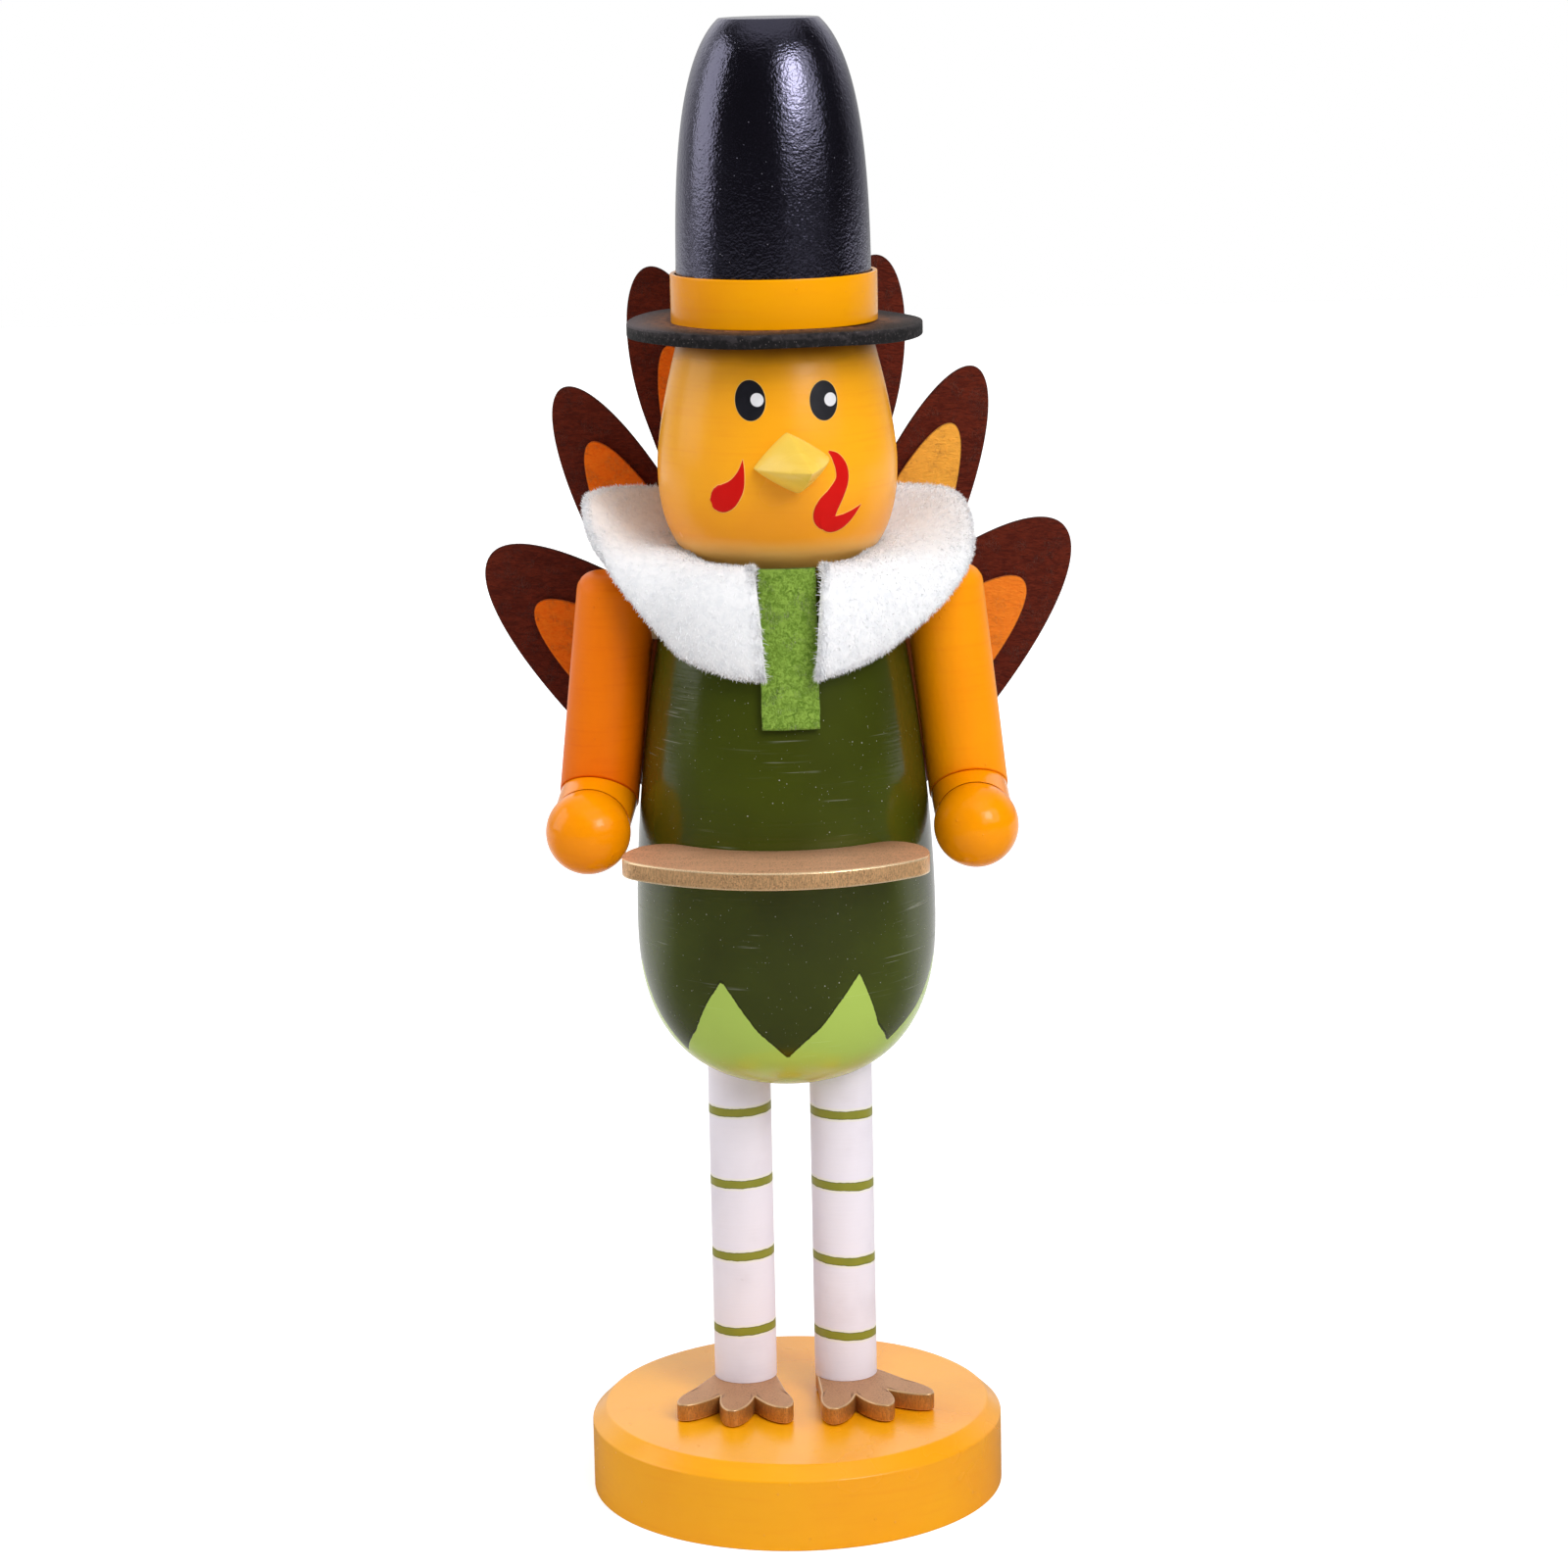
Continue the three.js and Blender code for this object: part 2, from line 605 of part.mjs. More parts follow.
const face = new THREE.Group();
face.rotation.z = degToRad(HEAD_TURN);
figure.add(face);
place(face, 'head', cut(headBlank, neckHole, hatHole, beakHole), orangePaint);
place(face, 'beak', cut(beakBlank, beakSeat, beakHole), beakPaint);
place(face, 'beak_dowel', asBeakPeg(rod(BEAK_DOWEL_D, ...beakPegSpan, PIN_SIDES)), plainWood);
place(figure, 'neck_dowel', rod(NECK_DOWEL_D, ...neckPeg), plainWood);

const bodyBlank = turned(bodyProfile);
const bodyTools = [tailFlat, ...legSockets, ...trayPinHoles, ...shoulderSockets, neckHole];
place(figure, 'body', cut(bodyBlank, ...bodyTools), greenPaint);

// Hat

const brimProfile = [
  [0, brimZ],
  [BRIM_D / 2 - BRIM_ROUND, brimZ],
  [BRIM_D / 2, brimZ + BRIM_ROUND],
  [BRIM_D / 2, brimZ + BRIM_T - BRIM_ROUND],
  [BRIM_D / 2 - BRIM_ROUND, brimZ + BRIM_T],
  [0, brimZ + BRIM_T],
];
const crownSide = crowded(9).map((u) => {
  return [roundedFall(CROWN_D / 2, CROWN_TOP_D / 2, CROWN_POWER, u), crownZ + u * CROWN_H];
});
const crownBlank = turned([[0, crownZ], ...crownSide, [0, crownZ + CROWN_H]]);
const bandTopZ = crownZ + BAND_H;
const bandBlank = turned([
  [0, crownZ],
  [BAND_D / 2, crownZ],
  ...topRound(BAND_D / 2, bandTopZ, BAND_ROUND, 2),
  [0, bandTopZ],
]);
const bandBore = rod(CROWN_D + 2 * GLUE_GAP, crownZ - 1, bandTopZ + 1, TURNED_SIDES);
place(figure, 'hat_brim', cut(turned(brimProfile), hatHole), mattBlack);
place(figure, 'hat_band', cut(bandBlank, bandBore), orangePaint);
place(figure, 'hat_crown', cut(crownBlank, hatHole), blackPaint);
place(figure, 'hat_dowel', rod(HAT_DOWEL_D, ...hatPeg), plainWood);

// Collar: a soft strip laid round the neck. Each section bends from the neck edge to the rim.

const collarNeckZ = bodyTopZ + COLLAR_T / 2 + GLUE_GAP;
const collarLapelZ = collarNeckZ - COLLAR_FRONT_DROP;
const collarOverTie = (z) => bodyR(z) + GLUE_GAP + TIE_T + COLLAR_TIP_ROOM + COLLAR_T / 2;

// Neck edge, bend and rim of the collar, as [radius, height], at a heading in degrees from the front.
function collarSection(heading) {
  const behind = smoothstep(heading, 110, 180);
  const lifted = smoothstep(heading, 38, 118);
  const draped = 1 - smoothstep(heading, 60, 110);
  const inFront = 1 - smoothstep(heading, 30, 70);
  const tipDrop = COLLAR_TIP_DROP * (1 - smoothstep(heading, 12, 48));
  const sideNeckD = lerp(COLLAR_NECK_D, COLLAR_NECK_FRONT_D, inFront);
  const neckR = lerp(sideNeckD, COLLAR_NECK_BACK_D, behind) / 2;
  const neckZ = collarNeckZ + behind * COLLAR_T / 2 - inFront * COLLAR_NECK_FRONT_DROP;
  const tipR = collarOverTie(collarLapelZ - tipDrop);
  const frontRim = lerp(tipR, COLLAR_SIDE_D / 2, smoothstep(heading, 48, 90));
  const off = degToRad(180 - heading);
  const backRim = 1 / Math.hypot(Math.sin(off) / (COLLAR_SIDE_D / 2), Math.cos(off) / COLLAR_BACK_R);
  const rimR = heading < 90 ? frontRim : backRim;
  const backZ = collarNeckZ + COLLAR_BACK_RISE - COLLAR_T / 2;
  const rimZ = lerp(collarLapelZ - tipDrop, backZ, lifted);
  const bendR = lerp(neckR, rimR, lerp(0.5, 0.98, draped));
  return [[neckR, neckZ], [bendR, neckZ + draped], [rimR, rimZ]];
}

// Point of a section at share v from neck edge to rim, raised by h square to the strip.
function collarPoint(section, v, h) {
  const [neck, bend, rim] = section.map(([r, z]) => new THREE.Vector2(r, z));
  const before = neck.lerp(bend, v);
  const after = bend.lerp(rim, v);
  const along = after.clone().sub(before).normalize();
  const middle = before.lerp(after, v);
  return [middle.x - h * along.y, middle.y + h * along.x];
}

function collarRing(turn) {
  return Array.from({ length: COLLAR_SIDES }, (_, k) => {
    const a = (k / COLLAR_SIDES) * 2 * Math.PI;
    const soft = (x) => Math.sign(x) * Math.abs(x) ** COLLAR_EDGE_POWER;
    const v = 0.5 + 0.5 * soft(Math.cos(a));
    const h = soft(Math.sin(a)) * COLLAR_T / 2;
    const frontR = collarPoint(collarSection(0), v, 0)[0];
    const opening = Math.asin(lerp(TIE_W + COLLAR_NECK_SPARE, COLLAR_TIP_GAP, v) / 2 / frontR);
    const shift = Math.asin(COLLAR_GAP_SHIFT / frontR) * turn ** 4;
    const around = turn * (Math.PI - opening) - shift;
    const heading = 180 - Math.abs(THREE.MathUtils.radToDeg(around));
    const [r, z] = collarPoint(collarSection(heading), v, h);
    return new THREE.Vector3(r * Math.sin(around), r * Math.cos(around), z);
  });
}

place(figure, 'collar', lofted(even(40).map((t) => collarRing(2 * t - 1))), whitePlush);

// Tie: a felt strip lying on the chest, from under the head down

function tieRing(z) {
  const innerR = bodyR(z) + GLUE_GAP;
  const half = Math.asin(TIE_W / 2 / innerR);
  const arc = (r, share) => new THREE.Vector3(r * Math.sin(share * half), -r * Math.cos(share * half), z);
  const across = even(4).map((t) => 2 * t - 1);
  const front = across.map((share) => arc(innerR + TIE_T, share));
  const back = across.map((share) => arc(innerR, -share));
  return [...front, ...back];
}

const tieHeights = even(5).map((t) => lerp(bodyTopZ - TIE_BELOW, bodyTopZ + TIE_ABOVE, t));
place(figure, 'neck_tie', lofted(tieHeights.map(tieRing)), greenFelt).rotation.z = degToRad(TIE_TURN);

// Tail: two felt fans, the smaller one in front, glued together and to the flat on the back

function fan(feathers, thickness) {
  const petals = [-1, 1].flatMap((s) => feathers.map(({ angle, ...form }) => {
    return { heading: s * degToRad(angle), ...form };
  }));
  petals.sort((a, b) => a.heading - b.heading);
  return extruded(fanOutline(petals, TAIL_ROOT_D / 2, 8), thickness).rotateX(Math.PI / 2);
}

const tail = new THREE.Group();
tail.position.set(TAIL_SHIFT, 0, bodyZ + TAIL_ROOT_RISE);
tail.rotation.y = -degToRad(TAIL_TILT);
figure.add(tail);
const frontFanY = tailFlatR + GLUE_GAP + TAIL_FRONT_T;
const backFanY = frontFanY + GLUE_GAP + TAIL_T;
place(tail, 'tail_fan_front', fan(FRONT_FEATHERS, TAIL_FRONT_T), orangeFelt).position.y = frontFanY;
place(tail, 'tail_fan', fan(BACK_FEATHERS, TAIL_T), brownFelt).position.y = backFanY;

export default turkey;
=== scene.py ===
import bmesh
import bpy
import numpy as np
from mathutils import Matrix, Vector


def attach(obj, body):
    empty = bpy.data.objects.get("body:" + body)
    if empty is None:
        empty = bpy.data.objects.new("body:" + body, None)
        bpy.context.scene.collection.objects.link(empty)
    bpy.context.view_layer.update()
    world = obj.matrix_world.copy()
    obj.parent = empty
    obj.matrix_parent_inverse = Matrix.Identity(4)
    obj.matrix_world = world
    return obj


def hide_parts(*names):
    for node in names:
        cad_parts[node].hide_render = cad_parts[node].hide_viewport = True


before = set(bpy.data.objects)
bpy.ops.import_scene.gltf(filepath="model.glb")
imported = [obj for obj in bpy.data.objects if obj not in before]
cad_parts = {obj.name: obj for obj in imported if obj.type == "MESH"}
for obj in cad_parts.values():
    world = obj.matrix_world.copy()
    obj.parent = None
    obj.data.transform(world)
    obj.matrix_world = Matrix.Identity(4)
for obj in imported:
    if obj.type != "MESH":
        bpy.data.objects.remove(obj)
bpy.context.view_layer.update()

# Base: a thick turned disc with a bevelled top edge, in glossy orange paint over sanded wood.
# The bevel was cut by hand against the lathe, so it is a little uneven and catches the light.

BASE_R = 50.0
BASE_H = 20.5
BASE_BEVEL = 3.4
BASE_EASE = 0.35
BEVEL_FROM_R = 40.0
BEVEL_WAVE = 0.12
BASE_ORANGE = (254, 174, 12)
BASE_ORANGE_SHADE = (250, 162, 8)
PAINT_DRIFT = 26
PAINT_PEEL = 700
BRUSH_MARKS = (60, 60, 900)


def rounded(profile, ease, steps=6):
    """Profile of (radius, height) corners with each inner corner rounded. A corner becomes a quadratic
    curve between the points one ease away on its two sides, with a spare point further out on each."""
    corners = np.asarray(profile, float)
    rows = [corners[:1]]
    share = np.linspace(0, 1, steps)[:, None]
    spare = 0.3 * ease
    for before, corner, after in zip(corners, corners[1:], corners[2:]):
        back = (before - corner) / np.linalg.norm(before - corner)
        on = (after - corner) / np.linalg.norm(after - corner)
        start, end = corner + ease * back, corner + ease * on
        bend = (1 - share) ** 2 * start + 2 * share * (1 - share) * corner + share ** 2 * end
        rows += [start[None] + spare * back, bend, end[None] + spare * on]
    return np.concatenate(rows + [corners[-1:]])


def turned(profile, sides=200):
    """Profile carried round Z: x is r sin a, y is -r cos a, z is the height."""
    radius, height = np.asarray(profile, float).T
    around = np.linspace(0, 2 * np.pi, sides, endpoint=False)
    x = np.outer(radius, np.sin(around))
    y = -np.outer(radius, np.cos(around))
    return np.stack([x, y, np.outer(height, np.ones(sides))], axis=-1)


def heading_of(form):
    """Angle round Z of each point of a turned form, from the front towards +X."""
    return np.arctan2(form[..., 0], -form[..., 1])


def mesh_of(points, loops, starts):
    """Mesh of points in millimetres, from the points of all faces in turn and where each face starts."""
    mesh = bpy.data.meshes.new("form")
    mesh.vertices.add(len(points))
    mesh.vertices.foreach_set("co", (points / 1000).astype(np.float32).ravel())
    mesh.loops.add(len(loops))
    mesh.loops.foreach_set("vertex_index", loops.astype(np.int32))
    mesh.polygons.add(len(starts))
    mesh.polygons.foreach_set("loop_start", starts.astype(np.int32))
    mesh.update(calc_edges=True)
    mesh.shade_smooth()
    return mesh


def skin(grids, fields=(), wrap=True):
    """Mesh over grids of points in millimetres, rows by columns, with the columns closed into rings.
    Equal points merge, so a row of one point becomes a pole. Further columns of a point are its fields."""
    points, faces, first = [], [], 0
    for grid in grids:
        rows, columns = grid.shape[:2]
        row = first + columns * np.arange(rows - 1)[:, None]
        here = np.arange(columns if wrap else columns - 1)[None]
        after = (here + 1) % columns
        quads = [row + here, row + after, row + columns + after, row + columns + here]
        faces.append(np.stack(quads, axis=-1).reshape(-1, 4))
        points.append(grid.reshape(rows * columns, -1))
        first += rows * columns
    points, faces = np.concatenate(points), np.concatenate(faces)
    mesh = mesh_of(points[:, :3], faces.ravel(), 4 * np.arange(len(faces)))
    for k, field in enumerate(fields):
        values = points[:, 3 + k].astype(np.float32)
        mesh.attributes.new(field, "FLOAT", "POINT").data.foreach_set("value", values)
    form = bmesh.new()
    form.from_mesh(mesh)
    bmesh.ops.remove_doubles(form, verts=form.verts, dist=1e-7)
    bmesh.ops.recalc_face_normals(form, faces=form.faces)
    form.to_mesh(mesh)
    form.free()
    return mesh


def fit(name, mesh, material, slot, *nodes, body="figure"):
    """Sets a finished mesh on its body, in place of the solids that it stands for."""
    mesh.name = name
    mesh.materials.append(material)
    piece = bpy.data.objects.new(name, mesh)
    bpy.context.scene.collection.objects.link(piece)
    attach(piece, body)
    if nodes:
        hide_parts(*nodes)
    return piece


class Wire:
    """A shader socket in arithmetic: an operator adds a Math node, and node() adds any other."""

    def __init__(self, tree, socket):
        self.tree = tree
        self.socket = socket

    def node(self, kind, sockets, out=0, stops=(), **settings):
        """A node of this type: its settings and ramp stops first, then its sockets' values or links."""
        made = self.tree.nodes.new("ShaderNode" + kind)
        for key, value in settings.items():
            setattr(made, key, value)
        for k, (position, grey) in enumerate(stops):
            ramp = made.color_ramp.elements
            stop = ramp[k] if k < 2 else ramp.new(position)
            stop.position = position
            stop.color = (grey, grey, grey, 1)
        for key, value in sockets.items():
            if isinstance(value, Wire):
                self.tree.links.new(value.socket, made.inputs[key])
            else:
                made.inputs[key].default_value = value
        return Wire(self.tree, made.outputs[out])

    def math(self, operation, first, second=0.0):
        """A Math node on one or two values or wires."""
        return self.node("Math", {0: first, 1: second}, operation=operation)

    def __add__(self, other):
        return self.math("ADD", self, other)

    def __sub__(self, other):
        return self.math("SUBTRACT", self, other)

    def __rsub__(self, other):
        return self.math("SUBTRACT", other, self)

    def __mul__(self, other):
        return self.math("MULTIPLY", self, other)

    __radd__ = __add__
    __rmul__ = __mul__

    def __abs__(self):
        return self.math("ABSOLUTE", self)

    def top(self, other):
        """The larger of two values."""
        return self.math("MAXIMUM", self, other)

    def step(self, low, high):
        """Smooth step from 0 at low to 1 at high."""
        sockets = {0: self, 1: low, 2: high, 3: 0.0, 4: 1.0}
        return self.node("MapRange", sockets, interpolation_type="SMOOTHSTEP")

    def stretch(self, x, y, z):
        """These coordinates, each times its own factor."""
        return self.node("VectorMath", {0: self, 1: (x, y, z)}, operation="MULTIPLY")

    def noise(self, scale, detail=2.0, distortion=0.0):
        """Noise about 0.5, with this many waves to the metre."""
        sockets = {"Vector": self, "Scale": scale, "Detail": detail, "Distortion": distortion}
        return self.node("TexNoise", sockets)

    def specks(self, scale, size):
        """Round specks, one to a cell of 1 / scale metres, with a radius of size cells."""
        cells = self.node("TexVoronoi", {"Vector": self, "Scale": scale})
        return 1 - cells.step(0.5 * size, size)

    def axes(self, names="XYZ"):
        """The coordinates of these names."""
        return [self.node("SeparateXYZ", {0: self}, out=name) for name in names]

    def field(self, name):
        """The mesh's own field of this name."""
        return self.node("Attribute", {}, out="Fac", attribute_name=name)

    def mix(self, first, second):
        """Colour that goes from first to second as this value goes from 0 to 1."""
        return self.node("Mix", {0: self, 6: first, 7: second}, out=2, data_type="RGBA")


def tint(red, green, blue):
    """Linear colour of a screen colour given as 0 to 255."""
    screen = np.array([red, green, blue]) / 255
    linear = np.where(screen <= 0.04045, screen / 12.92, ((screen + 0.055) / 1.055) ** 2.4)
    return (*linear.tolist(), 1.0)


def finish(name, **constants):
    """A new material with its even values set on the shader. Gives the material, a call that
    links a wire to one of the shader's sockets, and the Object coordinates."""
    material = bpy.data.materials.new(name)
    material.use_nodes = True
    tree = material.node_tree
    shader = tree.nodes["Principled BSDF"]
    for key, value in constants.items():
        shader.inputs[key.replace("_", " ")].default_value = value

    def feed(key, wire):
        tree.links.new(wire.socket, shader.inputs[key])

    place = Wire(tree, None).node("TexCoord", {}, out="Object")
    return material, feed, place


def embossed(feed, height, depth):
    """Bump of this depth in millimetres for a height that goes from 0 to 1."""
    feed("Normal", height.node("Bump", {"Height": height, "Distance": depth / 1000}))


def gloss_paint(name, colour, shade, rough, peel, gloss):
    """Sprayed gloss: the colour drifts towards its shade over a few centimetres, the film has an
    orange peel of about a millimetre, and dust nibs stand in it here and there."""
    material, feed, at = finish(name, Specular_IOR_Level=gloss)
    drift = at.noise(PAINT_DRIFT, 3)
    brushed = at.stretch(*BRUSH_MARKS).noise(1, 2)
    nibs = at.specks(210, 0.07)
    worn = drift.step(0.38, 0.7) * 0.7 + brushed.step(0.5, 0.75) * 0.3
    feed("Base Color", worn.mix(tint(*colour), tint(*shade)))
    feed("Roughness", rough + 0.12 * drift + 0.1 * nibs)
    embossed(feed, at.noise(PAINT_PEEL, 2) + 0.6 * brushed + 2.0 * nibs, peel)
    return material


base_orange = gloss_paint("orange_paint", BASE_ORANGE, BASE_ORANGE_SHADE, rough=0.2, peel=0.05, gloss=0.5)
base_side = [(BASE_R, 0), (BASE_R, BASE_H - BASE_BEVEL), (BASE_R - BASE_BEVEL, BASE_H)]
base_profile = rounded([(0, 0), *base_side, (0, BASE_H)], BASE_EASE)
base_form = turned(base_profile, 240)
base_turn = heading_of(base_form)
bevel_share = np.clip((base_form[..., 2] - BASE_H + BASE_BEVEL) / BASE_BEVEL, 0, 1)
bevel_share *= (base_profile[:, 0] > BEVEL_FROM_R)[:, None]
bevel_wave = 1 + np.sin(3 * base_turn + 0.6) + 0.5 * np.sin(7 * base_turn)
base_form[..., 2] -= bevel_share * BEVEL_WAVE * bevel_wave
fit("painted_base", skin([base_form]), base_orange, "orange_paint", "base")

# Feet: flat boards sawn to three toes and a round heel, in bronze paint.
# The sawn walls are coppery and shiny, the tops dull, and the bright line along the edges is worn paint with
# a painted highlight.

SETBACK = 5.0
LEG_X = 12.3
FOOT_Z = 20.8
FOOT_H = 4.3
FOOT_EASE = 0.45
FOOT_TURN = {"left": 21.5, "right": 7.2}
TOE_HEADINGS = (-29.0, 0.0, 29.0)
TOE_REACH = 26.8
TOE_W = 8.4
TOE_TIP = 11.0
HEEL_R = 7.5
TOE_ROOT_HALF = 0.98 * HEEL_R
FOOT_GRAIN = (300, 90, 300)
FOOT_TOP = (198, 149, 110)
FOOT_WALL = (206, 147, 78)
FOOT_WORN_HIGHLIGHT = 0.5
# Bright rim line: rubbed paint with a painted highlight on the eased edges.
BRONZE_WORN_HIGHLIGHT = (246, 214, 170)
# Painted shade on the board's top where it meets the body.
BRONZE_SHADE_BROWN = (130, 86, 58)
BRONZE_DARK = (142, 98, 66)
FLAKE = 2600
SAW_MARKS = (4200, 4200, 900)


def fan_outline(petals, root, count, root_half=0.0):
    """Outline of petals that fan about +Y from a round root, at even lengths along it. Along each ray the
    furthest petal counts: the ellipse that rounds its tip, and its sides from there straight back to half
    a width at the root. If that is none, they run to the root's middle, so a ray beyond finds no petal.
    A petal is its heading in degrees, reach, width and length of tip."""
    heading = np.linspace(-np.pi, np.pi, 24001)
    radius = np.full_like(heading, root)
    for turn, reach, width, tip in petals:
        off = heading - np.radians(turn)
        half, shoulder = width / 2, reach - tip
        sine, cosine = np.abs(np.sin(off)), np.cos(off)
        a = (sine / half) ** 2 + (cosine / tip) ** 2
        b = cosine * shoulder / tip ** 2
        inside = b * b - a * ((shoulder / tip) ** 2 - 1)
        edge = np.where(inside > 0, (b + np.sqrt(np.maximum(inside, 0))) / a, 0)
        if root_half:
            flare = (root_half - half) / shoulder
            flank = root_half / (sine + flare * np.maximum(cosine, 0))
            edge = np.where(sine * shoulder >= half * cosine, flank, edge)
        radius = np.maximum(radius, np.where(cosine > 0, edge, 0))
    x, y = -radius * np.sin(heading), radius * np.cos(heading)
    length = np.concatenate([[0], np.cumsum(np.hypot(np.diff(x), np.diff(y)))])
    even = np.linspace(0, length[-1], count, endpoint=False)
    return np.stack([np.interp(even, length, x), np.interp(even, length, y)], axis=-1)


def slab(outline, thickness, ease, inner=6):
    """Board cut to an outline about its origin, from z = 0 up, with both rims eased by a quarter round.
    Rows run from the middle of the underside out, up the wall and in over the top. The fields are how
    much of a row is rim and how much is wall."""
    along = np.roll(outline, -1, 0) - np.roll(outline, 1, 0)
    out = np.stack([along[:, 1], -along[:, 0]], axis=-1) / np.linalg.norm(along, axis=1)[:, None]
    out *= np.sign(np.sum(out * outline))
    curl = np.linspace(0, np.pi / 2, 5)
    flat, spare = np.zeros(inner + 1), [1.4 * ease]
    share = np.concatenate([np.linspace(0, 0.97, inner), np.ones(12), np.linspace(0.97, 0, inner)])
    round_in = ease * (1 - np.sin(curl))
    half_inset = np.concatenate([np.full(inner, ease), spare, round_in])
    inset = np.concatenate([half_inset, half_inset[::-1]])
    lift = ease * (1 - np.cos(curl))
    height = np.concatenate([flat, lift, (thickness - lift)[::-1], flat + thickness])
    rim = np.concatenate([flat, np.sin(2 * curl), np.sin(2 * curl), flat])
    wall = np.concatenate([flat, np.sin(curl), np.sin(curl)[::-1], flat])
    spots = share[:, None, None] * (outline - inset[:, None, None] * out)
    columns = np.stack([height, rim, wall], axis=-1)[:, None] * np.ones((1, len(outline), 1))
    return np.concatenate([spots, columns], axis=-1)


def moved(grid, matrix):
    """Points of a grid carried by a 4 by 4 matrix, with their fields kept."""
    turn = np.array(matrix)
    place = grid[..., :3] @ turn[:3, :3].T + turn[:3, 3]
    return np.concatenate([place, grid[..., 3:]], axis=-1)


def from_axis(at):
    """Distance of a place from the figure's upright axis, in metres."""
    x, y = at.axes("XY")
    back = y - SETBACK / 1000
    return x.math("SQRT", x * x + back * back)


def dimmed(colour, share):
    """A screen colour with each part brought down to this share."""
    return [share * part for part in colour]


def bronze_paint(name, grain, tops, walls, worn, shaded_within):
    """Metal-flake paint: dull in the colour of the tops and shiny in that of the walls, with flakes of a
    third of a millimetre, and a bright line, as strong as worn says, along the rims: rubbed paint with a
    painted highlight on the eased edge. Grain gives the stretch of the wood that shows through. Up to the
    distance given last, in metres from the figure's axis, the top is darker: painted shade where it meets the
    body."""
    material, feed, at = finish(name, Metallic=0.5)
    rim, wall = at.field("rim"), at.field("wall")
    flake = at.noise(FLAKE, 1)
    fibre = at.stretch(*grain).noise(1, 3)
    away = from_axis(at) + 0.006 * at.noise(90, 3)
    # Painted shade: the top is darker close to the body.
    painted_shade = (1 - away.step(shaded_within - 0.004, shaded_within + 0.012)) * (1 - wall)
    # Painted highlight with rubbed paint: the bright line along the rims.
    rubbed_and_highlit = worn * (rim * (0.6 + 0.9 * at.noise(340, 2))).step(0.4, 0.65)
    top = (0.6 * painted_shade).mix(tint(*tops), tint(*BRONZE_SHADE_BROWN))
    sawn = at.stretch(*SAW_MARKS).noise(1, 2)
    side = sawn.step(0.35, 0.65).mix(tint(*dimmed(walls, 0.84)), tint(*walls))
    ground = wall.step(0.2, 0.8).mix(top, side)
    darker = (fibre * 0.6 + flake * 0.4).step(0.35, 0.65).mix(tint(*BRONZE_DARK), ground)
    flaked = (0.75 * flake.step(0.2, 0.6) + 0.25).mix(darker, ground)
    feed("Base Color", rubbed_and_highlit.mix(flaked, tint(*BRONZE_WORN_HIGHLIGHT)))
    feed("Roughness", 0.46 - 0.16 * wall - 0.12 * rubbed_and_highlit + 0.1 * flake)
    embossed(feed, flake * 0.5 + fibre, 0.06)
    return material


foot_bronze = bronze_paint("foot_bronze", FOOT_GRAIN, FOOT_TOP, FOOT_WALL, FOOT_WORN_HIGHLIGHT, 0)
toes = [(heading, TOE_REACH, TOE_W, TOE_TIP) for heading in TOE_HEADINGS]
foot_board = slab(fan_outline(toes, HEEL_R, 420, TOE_ROOT_HALF), FOOT_H, FOOT_EASE)
for side, sign in (("left", 1), ("right", -1)):
    stand = Matrix.Translation((sign * LEG_X, SETBACK, FOOT_Z))
    stand = stand @ Matrix.Rotation(np.pi + sign * np.radians(FOOT_TURN[side]), 4, "Z")
    foot_mesh = skin([moved(foot_board, stand)], ("rim", "wall"))
    fit(f"bronze_foot_{side}", foot_mesh, foot_bronze, "bronze_paint", f"foot_{side}")

# Legs: plain dowels in satin white paint, let into the belly and screwed down through the feet.
# The green rings are brushed on by hand, so they waver, and a thin pale line edges them.

LEG_R = 7.6
LEG_Z = 25.1
LEG_TOP_Z = 116.4
LEG_EASE = 0.15
RING_HEIGHTS = {"right": (93.7, 75.7, 57.4, 38.4), "left": (92.5, 74.5, 55.7, 36.6)}
RING_TILT = {"right": 0.03, "left": -0.06}
RING_HALF = 1.05 / 1000
LEG_WHITE = (246, 239, 249)
LEG_GRIME = (214, 204, 214)
RING_OLIVE = (160, 154, 42)
RING_OLIVE_SHADE = (132, 136, 34)
RING_OLIVE_EDGE = (84, 92, 20)
RING_PALE = (247, 243, 214)


def stub(radius, top, bottom, ease, sides=96):
    """Round stub about Z. Rows run from the middle of the top surface out, down the side and in under the
    bottom surface. Both surfaces are heights over x and y, and both rims are eased by a quarter round."""
    around = np.linspace(0, 2 * np.pi, sides, endpoint=False)
    curl = np.sin(np.linspace(0, np.pi / 2, 7))
    reach = np.concatenate([np.linspace(0, radius - ease, 14)[:-1], radius - ease + ease * curl])
    dip = ease - np.sqrt(np.maximum(ease ** 2 - np.maximum(reach - radius + ease, 0) ** 2, 0))
    x, y = np.outer(reach, np.sin(around)), -np.outer(reach, np.cos(around))
    high, low = top(x, y) - dip[:, None], bottom(x, y) + dip[:, None]
    down = np.linspace(0, 1, 18)[1:-1, None]
    wall = high[-1] * (1 - down) + low[-1] * down
    rim_x, rim_y = np.repeat(x[-1:], len(down), 0), np.repeat(y[-1:], len(down), 0)
    rows = [(x, y, high), (rim_x, rim_y, wall), (x[::-1], y[::-1], low[::-1])]
    return np.concatenate([np.stack(row, axis=-1) for row in rows])


